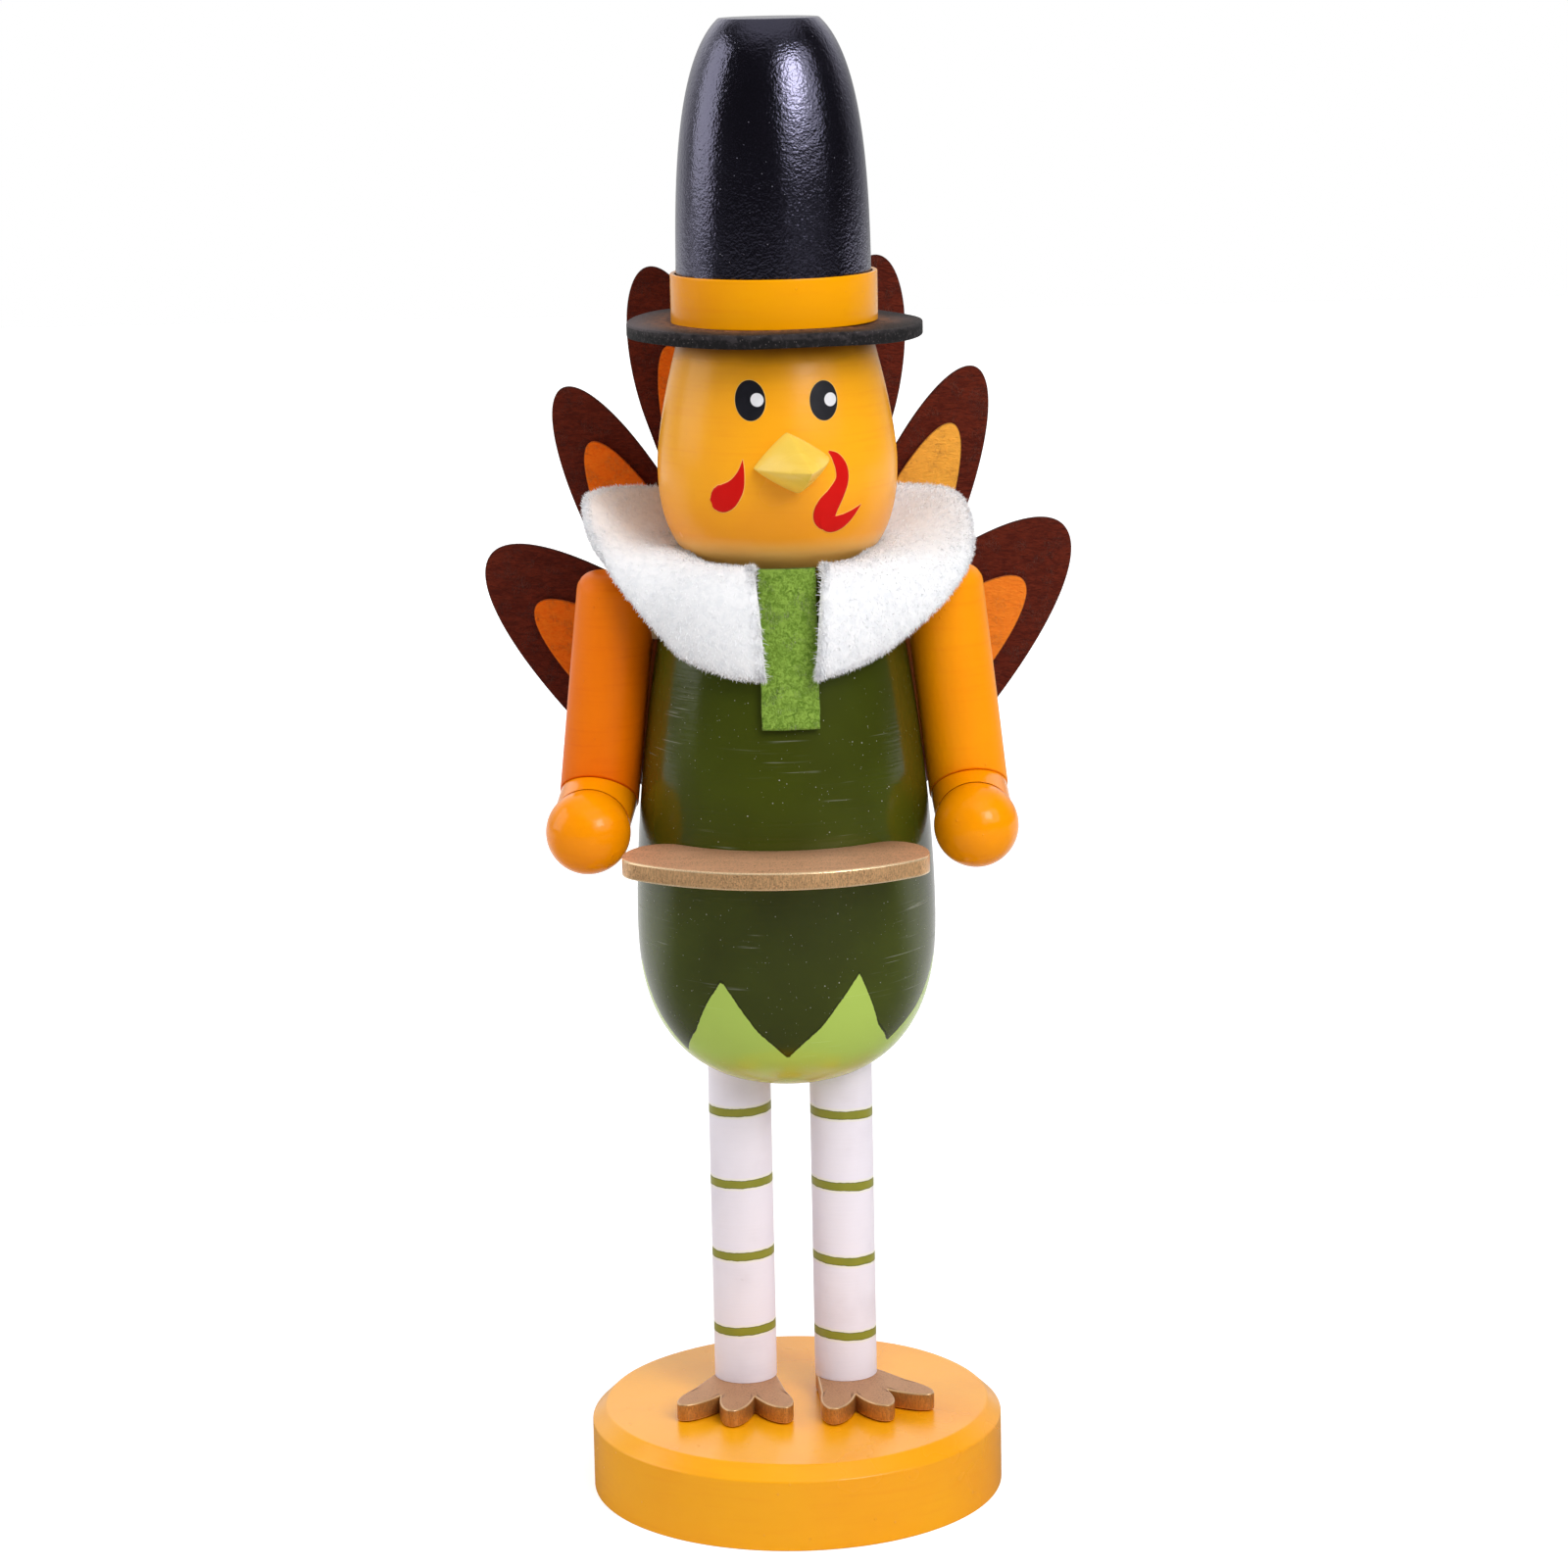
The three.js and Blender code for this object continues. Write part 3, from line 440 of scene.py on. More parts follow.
def ringed_paint(name, leg_x, heights, tilt):
    """Satin white with olive rings: a ring is where the height, tilted across X and wavering round the
    leg, is within half a ring of one of the given heights, and a pale line runs outside it."""
    material, feed, at = finish(name, Coat_Weight=0.1, Coat_Roughness=0.3)
    x, z = at.axes("XZ")
    waver = 0.0007 * at.noise(95, 2) + 0.0003 * at.noise(700, 1)
    level = z - tilt * (x - leg_x / 1000) + waver - 0.0005
    away = None
    for height in heights:
        gap = abs(level - height / 1000)
        away = gap if away is None else away.math("MINIMUM", away, gap)
    ring = 1 - away.step(RING_HALF * 0.96, RING_HALF * 1.04)
    edge = ring * away.step(RING_HALF * 0.7, RING_HALF * 0.9)
    pale = 1 - away.step(RING_HALF * 1.3, RING_HALF * 1.7)
    grime = at.noise(60, 4).step(0.45, 0.8)
    scuff = at.noise(420, 3).step(0.66, 0.78) * grime
    white = (0.35 * grime + 0.4 * scuff).mix(tint(*LEG_WHITE), tint(*LEG_GRIME))
    olive = at.noise(240, 3).mix(tint(*RING_OLIVE), tint(*RING_OLIVE_SHADE))
    green = (0.6 * edge).mix(olive, tint(*RING_OLIVE_EDGE))
    feed("Base Color", ring.mix((0.5 * pale).mix(white, tint(*RING_PALE)), green))
    feed("Roughness", 0.42 + 0.12 * at.noise(160, 2))
    embossed(feed, at.stretch(90, 90, 1400).noise(1, 2) + 1.2 * ring, 0.05)
    return material


leg_form = stub(LEG_R, lambda x, y: 0 * x + LEG_TOP_Z, lambda x, y: 0 * x + LEG_Z, LEG_EASE)
for side, sign in (("left", 1), ("right", -1)):
    leg_mesh = skin([moved(leg_form, Matrix.Translation((sign * LEG_X, SETBACK, 0)))])
    leg_paint = ringed_paint(f"ringed_white_{side}", sign * LEG_X, RING_HEIGHTS[side], RING_TILT[side])
    fit(f"painted_leg_{side}", leg_mesh, leg_paint, "white_paint", f"leg_{side}")

# Body: one egg-shaped turning with a flat behind for the tail, in dark green gloss.
# A light green skirt with pointed leaves is brushed round its foot, and wears to a warm tone below.

BODY_Z = 101.4
BELLY_Z = 141.9
BODY_TOP_Z = 227.6
BELLY_R = 35.85
BELLY_FOOT_R = 8.8
BELLY_POWER = 2.5
BODY_TOP_R = 26.0
CHEST_POWER = 1.75
SHOULDER_ROUND = 3.5
TAIL_FLAT_Y = 34.6
# Corners of the skirt's edge are (degrees round, height above the body's foot), with a sag between each two.
SKIRT_CORNERS = [
    (-180, 22), (-158, 12), (-132, 30.5), (-106, 11.5), (-80, 31.5), (-60.5, 9.8), (-26.1, 31.3),
    (-0.8, 11.4), (28.1, 32.2), (51.7, 12.7), (82, 31), (107, 11.5), (132, 32), (158, 12), (180, 22),
]
SKIRT_SAGS = [0.5, 2.5, 2.5, 2.5, 2.5, 3.5, 2.5, 2.0, 4.0, 2.5, 2.5, 2.5, 2.5, 0.5]
SKIRT_SPAN = 40
SKIRT_WARM_BAND = (0.001, 0.013)
BODY_GREEN = (70, 80, 14)
BODY_GREEN_DARK = (56, 62, 12)
BODY_DUST_AND_SHEEN = (206, 208, 196)
SKIRT_GREEN = (180, 206, 94)
SKIRT_WARM = (206, 170, 50)
SKIRT_LINE = (30, 32, 6)
LATHE_RINGS = (45, 45, 1500)


def rounded_fall(radius, end, power, share):
    """Radius that falls from radius to end as a superellipse quarter cut short."""
    return radius * (1 - (1 - (end / radius) ** power) * share ** power) ** (1 / power)


def body_radius(height):
    """Radius of the body's side: a rounded fall below the belly, a straightening taper above it."""
    below = np.clip((BELLY_Z - height) / (BELLY_Z - BODY_Z), 0, 1)
    above = np.clip((height - BELLY_Z) / (BODY_TOP_Z - BELLY_Z), 0, 1)
    taper = BELLY_R - (BELLY_R - BODY_TOP_R) * above ** CHEST_POWER
    return np.where(height < BELLY_Z, rounded_fall(BELLY_R, BELLY_FOOT_R, BELLY_POWER, below), taper)


def body_paint(name):
    """Dark green gloss over a light skirt. The skirt's edge is a height that runs straight from leaf to
    leaf round the body, sagging between. Fine lathe rings and dust lie in the gloss, and pale streaks along
    the rings are rubbed paint together with painted highlight streaks."""
    material, feed, at = finish(name, Specular_IOR_Level=0.42)
    x, y, z = at.axes()
    around = x.math("ARCTAN2", x, SETBACK / 1000 - y) * (0.5 / np.pi) + 0.5
    spans = zip(SKIRT_CORNERS, SKIRT_CORNERS[1:], SKIRT_SAGS)
    mids = [((a + c) / 2, (b + d) / 2 - sag) for (a, b), (c, d), sag in spans]
    ends = [SKIRT_CORNERS[0], SKIRT_CORNERS[-1]]
    edge = ends + sorted(SKIRT_CORNERS[1:-1] + mids)
    stops = [((turn + 180) / 360, height / SKIRT_SPAN) for turn, height in edge]
    skirt_top = around.node("ValToRGB", {0: around}, stops=stops) * (SKIRT_SPAN / 1000) + BODY_Z / 1000
    waver = 0.0008 * at.noise(150, 2) + 0.0006 * at.noise(900, 2) - 0.0007
    above = z - skirt_top - waver
    skirt = 1 - above.step(-0.00012, 0.00012)
    line = 1 - abs(above - 0.00045).step(0.0001, 0.0004)
    rings = at.stretch(*LATHE_RINGS).noise(1, 2)
    rubbed_and_highlit = rings.step(0.62, 0.72) * at.noise(42, 2).step(0.52, 0.64)
    nibs = at.specks(260, 0.055).top(at.specks(470, 0.07)).top(at.specks(760, 0.07))
    cloud = at.noise(22, 3)
    green = cloud.step(0.3, 0.7).mix(tint(*BODY_GREEN_DARK), tint(*BODY_GREEN))
    # Dust specks, and pale streaks that are rubbed paint with painted highlights along the lathe rings.
    dust_and_sheen = (0.65 * nibs + 0.24 * rubbed_and_highlit).mix(green, tint(*BODY_DUST_AND_SHEEN))
    outlined = (0.55 * line).mix(dust_and_sheen, tint(*SKIRT_LINE))
    warm = (1 - (z - BODY_Z / 1000).step(*SKIRT_WARM_BAND)) * at.noise(70, 2).step(0.25, 0.6)
    light = (0.8 * warm).mix(tint(*SKIRT_GREEN), tint(*SKIRT_WARM))
    feed("Base Color", skirt.mix(outlined, light))
    feed("Roughness", 0.14 + 0.1 * cloud + 0.22 * rubbed_and_highlit + 0.2 * nibs)
    embossed(feed, 0.5 * at.noise(620, 2) + 0.6 * rings + 1.2 * nibs + 0.8 * skirt, 0.05)
    return material


round_z = BODY_TOP_Z - SHOULDER_ROUND
belly_rows = BELLY_Z - (BELLY_Z - BODY_Z) * np.sin(np.linspace(np.pi / 2, 0, 44))
chest_rows = np.linspace(BELLY_Z, round_z, 40)[1:]
side_rows = np.concatenate([belly_rows, chest_rows])
body_side = np.stack([body_radius(side_rows), side_rows], axis=-1)
curl = np.linspace(0, np.pi / 2, 9)[1:]
round_off = SHOULDER_ROUND * np.stack([np.cos(curl), np.sin(curl)], axis=-1)
shoulder = round_off + [body_side[-1, 0] - SHOULDER_ROUND, round_z]
body_form = turned(np.concatenate([[(0, BODY_Z)], body_side, shoulder, [(0, BODY_TOP_Z)]]))
body_form[..., 1] = np.minimum(body_form[..., 1], TAIL_FLAT_Y) + SETBACK
fit("painted_body", skin([body_form]), body_paint("green_gloss"), "green_paint", "body")

# Serving board: a kidney-shaped board hollowed to the body and pinned to its front, in bronze paint.
# The top is dull and darker next to the body with painted shade, and the front edge has a bright line along
# both rims, rubbed paint with a painted highlight.

TRAY_TOP_Z = 164.5
TRAY_T = 4.2
TRAY_EASE = 0.6
TRAY_ARC_R = 48.5
TRAY_REACH = 59.4
TRAY_HALF_L = 35.6
TRAY_TURN = np.radians(-2.4)
TRAY_ASIDE = -0.6
TRAY_TIP_R = 9.5
TRAY_TIP_BACK = 13.9
TRAY_FILLET = 1.5
TRAY_GAP = 0.3
TRAY_HOLLOW_R = float(body_radius(np.array(TRAY_TOP_Z - TRAY_T))) + TRAY_GAP
TRAY_GRAIN = (70, 420, 420)
TRAY_TOP = (248, 192, 150)
TRAY_WALL = (238, 188, 134)
TRAY_WORN_HIGHLIGHT = 1.0
TRAY_SHADED_WITHIN = 0.04


def oblong_ring(curl_count, flat_count):
    """Once round an oblong with eased corners. Each point has its side and level, from -1 to 1 between the
    middles of the corners' rounds, and its push from there in both, as shares of the ease."""
    curl = np.linspace(0, np.pi / 2, curl_count)
    flat = np.linspace(-1, 1, flat_count)[1:-1]
    corners = [(-1, -1, np.pi), (1, -1, 1.5 * np.pi), (1, 1, 0), (-1, 1, 0.5 * np.pi)]
    rounds = [(s + 0 * curl, t + 0 * curl, np.cos(a + curl), np.sin(a + curl)) for s, t, a in corners]
    under = (flat, 0 * flat - 1, 0 * flat, 0 * flat - 1)
    over = (-flat, 0 * flat + 1, 0 * flat, 0 * flat + 1)
    spots = [rounds[0], under, rounds[1], rounds[2], over, rounds[3]]
    return [np.concatenate(part)[None] for part in zip(*spots)]


def tray_form():
    """Kidney carried along X. At each x the section is a rounded oblong between the front edge, an outer
    arc and then the round of the lobe, and the back edge, the smooth minimum of the hollow and the lobe."""
    arc_y = TRAY_ARC_R - TRAY_REACH
    tip_x = TRAY_HALF_L - TRAY_TIP_R
    tip_y = arc_y - np.sqrt((TRAY_ARC_R - TRAY_TIP_R) ** 2 - tip_x ** 2)
    arc_end = tip_x * TRAY_ARC_R / (TRAY_ARC_R - TRAY_TIP_R)
    x = TRAY_HALF_L * np.sin(np.linspace(-np.pi / 2, np.pi / 2, 181))[:, None]
    span = np.abs(x)
    tip = np.sqrt(np.maximum(1 - (np.maximum(span - tip_x, 0) / TRAY_TIP_R) ** 2, 0))
    arc = arc_y - np.sqrt(TRAY_ARC_R ** 2 - x ** 2)
    front = np.where(span < arc_end, arc, tip_y - TRAY_TIP_R * tip)
    hollow = -np.sqrt(np.maximum(TRAY_HOLLOW_R ** 2 - x ** 2, 0))
    lobe = tip_y + TRAY_TIP_BACK * tip
    back = (hollow + lobe - np.hypot(hollow - lobe, TRAY_FILLET)) / 2
    half = np.maximum(back - front, 0) / 2
    ease = np.minimum(TRAY_EASE, half)
    side, level, push_y, push_z = oblong_ring(6, 14)
    y = front + half + side * (half - ease) + push_y * ease
    z = TRAY_TOP_Z - TRAY_T / 2 + level * (TRAY_T / 2 - ease) + push_z * ease
    rim, wall = np.abs(2 * push_y * push_z), np.abs(push_y)
    return np.stack([x + 0 * y, y, z, rim + 0 * y, wall + 0 * y], axis=-1)


board_bronze = bronze_paint("board_bronze", TRAY_GRAIN, TRAY_TOP, TRAY_WALL, TRAY_WORN_HIGHLIGHT, TRAY_SHADED_WITHIN)
on_chest = Matrix.Translation((TRAY_ASIDE, SETBACK, 0)) @ Matrix.Rotation(TRAY_TURN, 4, "Z")
tray_mesh = skin([moved(tray_form(), on_chest)], ("rim", "wall"))
fit("bronze_board", tray_mesh, board_bronze, "bronze_paint", "tray")

# Arms: a round upper arm with a rounded shoulder, sawn at a mitre to a short forearm with a ball for a
# hand. All three are glued together and swing on a dowel through the shoulder. The upper arms are in
# satin orange, a darker, redder one on the figure's right as painted shade for that arm, which stands in
# shade, and the forearms and hands in a glossier one.

SHOULDER_X = 39.6
SHOULDER_Z = 212.9
ARM_LEAN = np.radians(6.3)
ARM_R = 9.5
ARM_TOP = 12.0
ARM_TOP_ROUND = 4.5
ARM_EASE = 0.25
ELBOW_DROP = 42.2
MITRE = np.radians(35)
SPLAY = {"left": np.radians(1.5), "right": np.radians(6)}
SAW_GAP = 0.14
FOREARM_R = 9.2
HAND_R = 10.05
HAND_REACH = 16.5
HAND_GAP = 0.1
# Painted shade: the figure's right upper arm takes a darker, redder orange than the left.
ARM_ORANGE_LIT_AND_SHADED = {"left": ((255, 159, 0), (251, 145, 0)), "right": ((244, 122, 0), (234, 106, 0))}
HAND_ORANGE = ((254, 154, 0), (249, 140, 0))


def shoulder_top(x, y):
    """Flat top with a quarter round at its edge."""
    over = np.maximum(np.hypot(x, y) - ARM_R + ARM_TOP_ROUND, 0)
    return ARM_TOP - ARM_TOP_ROUND + np.sqrt(np.maximum(ARM_TOP_ROUND ** 2 - over ** 2, 0))


def forearm_saw_cut(x, y):
    """Mitre plane, sloping up towards the back."""
    return np.tan(MITRE) * y - SAW_GAP / 2 / np.cos(MITRE)


def hand_seat(x, y):
    """Hollow that cups the ball, a tenth of a millimetre clear of it."""
    return np.sqrt((HAND_R + HAND_GAP) ** 2 - x ** 2 - y ** 2) - HAND_REACH


hand_orange = gloss_paint("hand_orange", *HAND_ORANGE, rough=0.1, peel=0.04, gloss=0.32)
ball_rows = np.linspace(0, np.pi, 64)
ball_profile = np.stack([HAND_R * np.sin(ball_rows), -HAND_REACH - HAND_R * np.cos(ball_rows)], axis=-1)
ball = turned(ball_profile, 96)
forearm = stub(FOREARM_R, forearm_saw_cut, hand_seat, ARM_EASE)
for side, sign in (("left", 1), ("right", -1)):
    splay = sign * SPLAY[side]
    hang = Matrix.Translation((sign * SHOULDER_X, SETBACK, SHOULDER_Z))
    hang = hang @ Matrix.Rotation(-sign * ARM_LEAN, 4, "Y")
    bend = hang @ Matrix.Translation((0, 0, -ELBOW_DROP))
    bend = bend @ Matrix.Rotation(splay, 4, "Z") @ Matrix.Rotation(-2 * MITRE, 4, "X")

    def arm_saw_cut(x, y):
        """Mitre plane, sloping down towards the back."""
        behind = np.cos(splay) * y - np.sin(splay) * x
        return SAW_GAP / 2 / np.cos(MITRE) - ELBOW_DROP - np.tan(MITRE) * behind

    arm_form = stub(ARM_R, shoulder_top, arm_saw_cut, ARM_EASE)
    arm_orange = gloss_paint(f"arm_orange_{side}", *ARM_ORANGE_LIT_AND_SHADED[side], rough=0.32, peel=0.06, gloss=0.12)
    pieces = {
        "arm": (moved(arm_form, hang), arm_orange),
        "forearm": (moved(forearm, bend), hand_orange),
        "hand": (moved(ball, bend), hand_orange),
    }
    for name, (form, paint) in pieces.items():
        piece_name, node = f"painted_{name}_{side}", f"{name}_{side}"
        fit(piece_name, skin([form]), paint, "orange_paint", node, body=f"{side}_arm")

# Head: a turned barrel, widest below the eyes, in satin orange that is paler than the arms'.
# It is set on its neck dowel turned a little to the figure's left.

HEAD_Z = 227.9
HEAD_H = 53.3
HEAD_R = 28.3
HEAD_RISE = 23.0
HEAD_FOOT_R = 20.5
HEAD_TOP_R = 22.6
HEAD_TOP_EASE = 0.4
HEAD_TOP_CROWN = 0.02
CHIN_POWER = 2.5
BROW_POWER = 1.5
HEAD_TURN = np.radians(6.5)
ON_NECK = Matrix.Translation((0, SETBACK, HEAD_Z)) @ Matrix.Rotation(HEAD_TURN, 4, "Z")
HEAD_ORANGE = (255, 174, 22)
HEAD_ORANGE_SHADE = (249, 160, 20)
# Painted shade and light on the head: a deeper orange low on the cheeks for the shade under the beak, a pale
# chin for the light thrown up by the collar, and a brown band under the brim for its shadow.
CHEEK_SHADE_ORANGE = (230, 132, 4)
CHIN_PAINTED_LIGHT = (250, 196, 112)
BRIM_SHADOW_BROWN = (92, 40, 2)
# Bands of the paint are heights in metres above the head's foot between which each tone ends.
CHEEK_SHADE_BAND = (0.01, 0.022)
CHIN_LIGHT_BAND = (0.0045, 0.0095)
BRIM_SHADOW_BAND = (0.0478, 0.053)


def head_radius(height):
    """Radius of the head at a height above its foot: a rounded chin below, a taper to the brow above."""
    below = np.clip((HEAD_RISE - height) / HEAD_RISE, 0, 1)
    above = np.clip((height - HEAD_RISE) / (HEAD_H - HEAD_RISE), 0, 1)
    brow = HEAD_R - (HEAD_R - HEAD_TOP_R) * above ** BROW_POWER
    return np.where(height < HEAD_RISE, rounded_fall(HEAD_R, HEAD_FOOT_R, CHIN_POWER, below), brow)


def head_paint(name):
    """Satin orange, streaked round the head by the brush. Painted shade and light: a brown painted shadow
    close under the brim, a deeper orange low on the cheeks for the shade under the beak, and a pale chin for
    the light thrown up by the collar."""
    material, feed, at = finish(name, Specular_IOR_Level=0.34)
    height = at.axes("Z")[0] - HEAD_Z / 1000
    drift = at.noise(PAINT_DRIFT, 3)
    streak = at.stretch(50, 50, 1100).noise(1, 3)
    worn = drift.step(0.38, 0.7) * 0.6 + streak.step(0.5, 0.75) * 0.4
    orange = worn.mix(tint(*HEAD_ORANGE), tint(*HEAD_ORANGE_SHADE))
    # Painted shadow of the brim, then painted shade low on the cheeks and painted light on the chin.
    painted_shade = (height + 0.0012 * at.noise(120, 2)).step(*BRIM_SHADOW_BAND)
    with_cheek_shade = (0.4 * (1 - height.step(*CHEEK_SHADE_BAND))).mix(orange, tint(*CHEEK_SHADE_ORANGE))
    chin_light = (1 - (height + 0.002 * at.noise(90, 3)).step(*CHIN_LIGHT_BAND)) * (0.6 + 0.5 * streak)
    with_chin_light = (0.9 * chin_light).mix(with_cheek_shade, tint(*CHIN_PAINTED_LIGHT))
    feed("Base Color", (0.92 * painted_shade).mix(with_chin_light, tint(*BRIM_SHADOW_BROWN)))
    feed("Roughness", 0.2 + 0.12 * drift + 0.1 * painted_shade)
    embossed(feed, at.noise(PAINT_PEEL, 2) + 0.8 * streak + 1.6 * at.specks(260, 0.06), 0.035)
    return material


chin_rows = HEAD_RISE * (1 - np.sin(np.linspace(np.pi / 2, 0, 36)))
head_rows = np.concatenate([chin_rows, np.linspace(HEAD_RISE, HEAD_H, 30)[1:]])
head_side = np.stack([head_radius(head_rows), head_rows], axis=-1)
head_top = HEAD_H + HEAD_TOP_CROWN
head_profile = np.concatenate([[(0, 0)], head_side, [(HEAD_TOP_R - HEAD_TOP_EASE, head_top), (0, head_top)]])
head_mesh = skin([moved(turned(head_profile), ON_NECK)])
fit("painted_head", head_mesh, head_paint("head_orange"), "orange_paint", "head")

# Eyes: printed ovals of black with a pale spot, each with a hair-thin cream line round it.
# They lie on the paint like a film, and the film's edge goes down into it.

# An eye is its degrees round, height, half width, half height and how far aside its spot lies.
EYES = {"right": (-19.9, 40.2, 3.75, 4.75, 1.65), "left": (18.5, 39.7, 3.65, 4.65, 1.65)}
SPOT_R = 1.58
SPOT_RISE = 0.15
EYE_LIFT = 0.06
FILM_SINK = -0.2
EYE_BLACK = (20, 20, 26)
EYE_BLACK_WORN = (40, 39, 46)
SPOT_WHITE = (246, 244, 248)
SPOT_WHITE_SHADE = (222, 222, 226)
EYE_LINE = (248, 196, 100)


def on_face(across, height, lift):
    """Point of the face at so many millimetres round from its middle and above the head's foot."""
    radius = head_radius(height)
    turn = across / np.maximum(radius, 1)
    reach = radius + lift
    return np.stack([reach * np.sin(turn), -reach * np.cos(turn), height], axis=-1)


def eye_paint(name):
    """Black, with a pale spot where the spot field is under its radius and a cream line at the rim."""
    material, feed, at = finish(name, Specular_IOR_Level=0.15)
    black = at.noise(300, 2).mix(tint(*EYE_BLACK), tint(*EYE_BLACK_WORN))
    white = at.noise(500, 2).mix(tint(*SPOT_WHITE), tint(*SPOT_WHITE_SHADE))
    inked = (1 - at.field("spot").step(SPOT_R - 0.12, SPOT_R + 0.04)).mix(black, white)
    feed("Base Color", at.field("rim").step(0.08, 0.15).mix(tint(*EYE_LINE), inked))
    feed("Roughness", 0.3 + 0.1 * at.noise(400, 2))
    return material


eye_ink = eye_paint("eye_ink")
share = np.concatenate([np.linspace(0, 1, 40), [1.0]])[:, None]
lift = np.where(np.arange(len(share)) < len(share) - 1, EYE_LIFT, FILM_SINK)[:, None]
around = np.linspace(0, 2 * np.pi, 120, endpoint=False)[None]
for side, (turn, height, half_w, half_h, spot_off) in EYES.items():
    edge_x, edge_z = half_w * np.cos(around), half_h * np.sin(around)
    off_x, off_z = share * edge_x, share * edge_z
    across = np.radians(turn) * float(head_radius(np.array(height))) + off_x
    rim = (1 - share) * np.hypot(edge_x, edge_z) * 0.9
    spot = np.hypot(off_x - spot_off, off_z - SPOT_RISE)
    fields = np.stack([spot, rim], axis=-1)
    film = np.concatenate([on_face(across, height + off_z, lift), fields], axis=-1)
    eye_mesh = skin([moved(film, ON_NECK)], ("spot", "rim"))
    fit(f"printed_eye_{side}", eye_mesh, eye_ink, "black_paint")

# Wattles: a red drop on the figure's right cheek and a red S on its left, printed like the eyes,
# each over a slightly larger shape in cream that shows as a line round it.

# Strokes are rows of (degrees round, height, half width) down the middle of a brush mark.
DROP_STROKE = [
    (-22.9, 26.9, 0.0), (-23.9, 23.6, 0.9), (-26.5, 20.6, 2.1), (-30.3, 18.6, 3.0), (-33.3, 17.7, 3.25),
    (-36.3, 17.2, 2.9), (-38.4, 16.9, 2.1), (-39.3, 16.8, 1.5), (-39.8, 16.75, 0.9), (-40.0, 16.7, 0.0),
]
S_STROKE = [
    (18.6, 28.2, 0.2), (22.3, 26.6, 1.1), (24.9, 24.0, 1.6), (25.0, 21.2, 1.75), (21.6, 18.1, 2.2),
    (17.4, 15.2, 2.75), (15.9, 12.9, 2.7), (16.3, 10.9, 1.6), (17.2, 9.9, 0.0),
]
S_TAIL = [
    (15.6, 13.2, 0.0), (16.2, 12.3, 1.5), (19.2, 11.1, 1.9), (24.2, 11.3, 1.75), (30.0, 12.6, 1.1),
    (37.1, 15.1, 0.0),
]
LINE_GROW = 0.18
LINE_LIFT = 0.05
RED_LIFT = 0.1
RED_LIFT_STEP = 0.02
WATTLE_RED = ((216, 14, 6), (200, 8, 4))
WATTLE_LINE = ((252, 200, 108), (248, 182, 74))


def stroke(rows, grow, lift):
    """Brush mark on the face: a smooth curve through the rows, swept across by its half width."""
    turn, height, half = np.array(rows).T
    knots = np.stack([np.radians(turn) * head_radius(height), height, half], axis=-1)
    along = np.linspace(0, len(knots) - 1, 120)
    k = np.clip(along.astype(int), 0, len(knots) - 2)
    t = (along - k)[:, None]
    ends = np.concatenate([2 * knots[:1] - knots[1:2], knots, 2 * knots[-1:] - knots[-2:-1]])
    a, b, c, d = ends[k], ends[k + 1], ends[k + 2], ends[k + 3]
    square_part, cube_part = 2 * a - 5 * b + 4 * c - d, 3 * b - a - 3 * c + d
    path = 0.5 * (2 * b + (c - a) * t + square_part * t ** 2 + cube_part * t ** 3)
    flow = np.gradient(path[:, :2], axis=0)
    square = np.stack([-flow[:, 1], flow[:, 0]], axis=-1) / np.linalg.norm(flow, axis=1)[:, None]
    half = np.maximum(path[:, 2], 0) + grow
    sweep = np.concatenate([[-1], np.linspace(-1, 1, 15), [1]])[None, :, None]
    spots = path[:, None, :2] + sweep * (half[:, None] * square)[:, None]
    raised = np.where(np.arange(17) % 16 == 0, FILM_SINK, lift)[None]
    return moved(on_face(spots[..., 0], spots[..., 1], raised), ON_NECK)


def print_ink(name, colour, shade):
    """Flat printing ink, a little uneven."""
    material, feed, at = finish(name, Specular_IOR_Level=0.14)
    feed("Base Color", at.noise(260, 3).mix(tint(*colour), tint(*shade)))
    feed("Roughness", 0.34 + 0.1 * at.noise(500, 2))
    return material


wattle_red = print_ink("wattle_red", *WATTLE_RED)
wattle_line = print_ink("wattle_line", *WATTLE_LINE)
for side, strokes in (("right", [DROP_STROKE]), ("left", [S_STROKE, S_TAIL])):
    lines = [stroke(rows, LINE_GROW, LINE_LIFT) for rows in strokes]
    fit(f"wattle_line_{side}", skin(lines, wrap=False), wattle_line, "orange_paint")
    reds = [stroke(rows, 0.0, RED_LIFT + RED_LIFT_STEP * k) for k, rows in enumerate(strokes)]
    fit(f"wattle_{side}", skin(reds, wrap=False), wattle_red, "orange_paint")

# Beak: a blunt pyramid on a rounded diamond, pegged to the face, with its point low and to one side.
# It is dipped in pale yellow gloss that softens its ridges.

BEAK_RISE = 26.0
BEAK_W = 17.4
BEAK_H = 14.0
BEAK_L = 12.5
BEAK_DROOP = 1.1
BEAK_ASIDE = 3.2
BEAK_ROOT = 3.0
BEAK_ROLL = np.radians(7.5)
BEAK_BULGE = 1.12
BEAK_POINT_BULGE = 0.2
BEAK_POWER = 1.6
BEAK_YELLOW = ((254, 218, 96), (246, 202, 74))


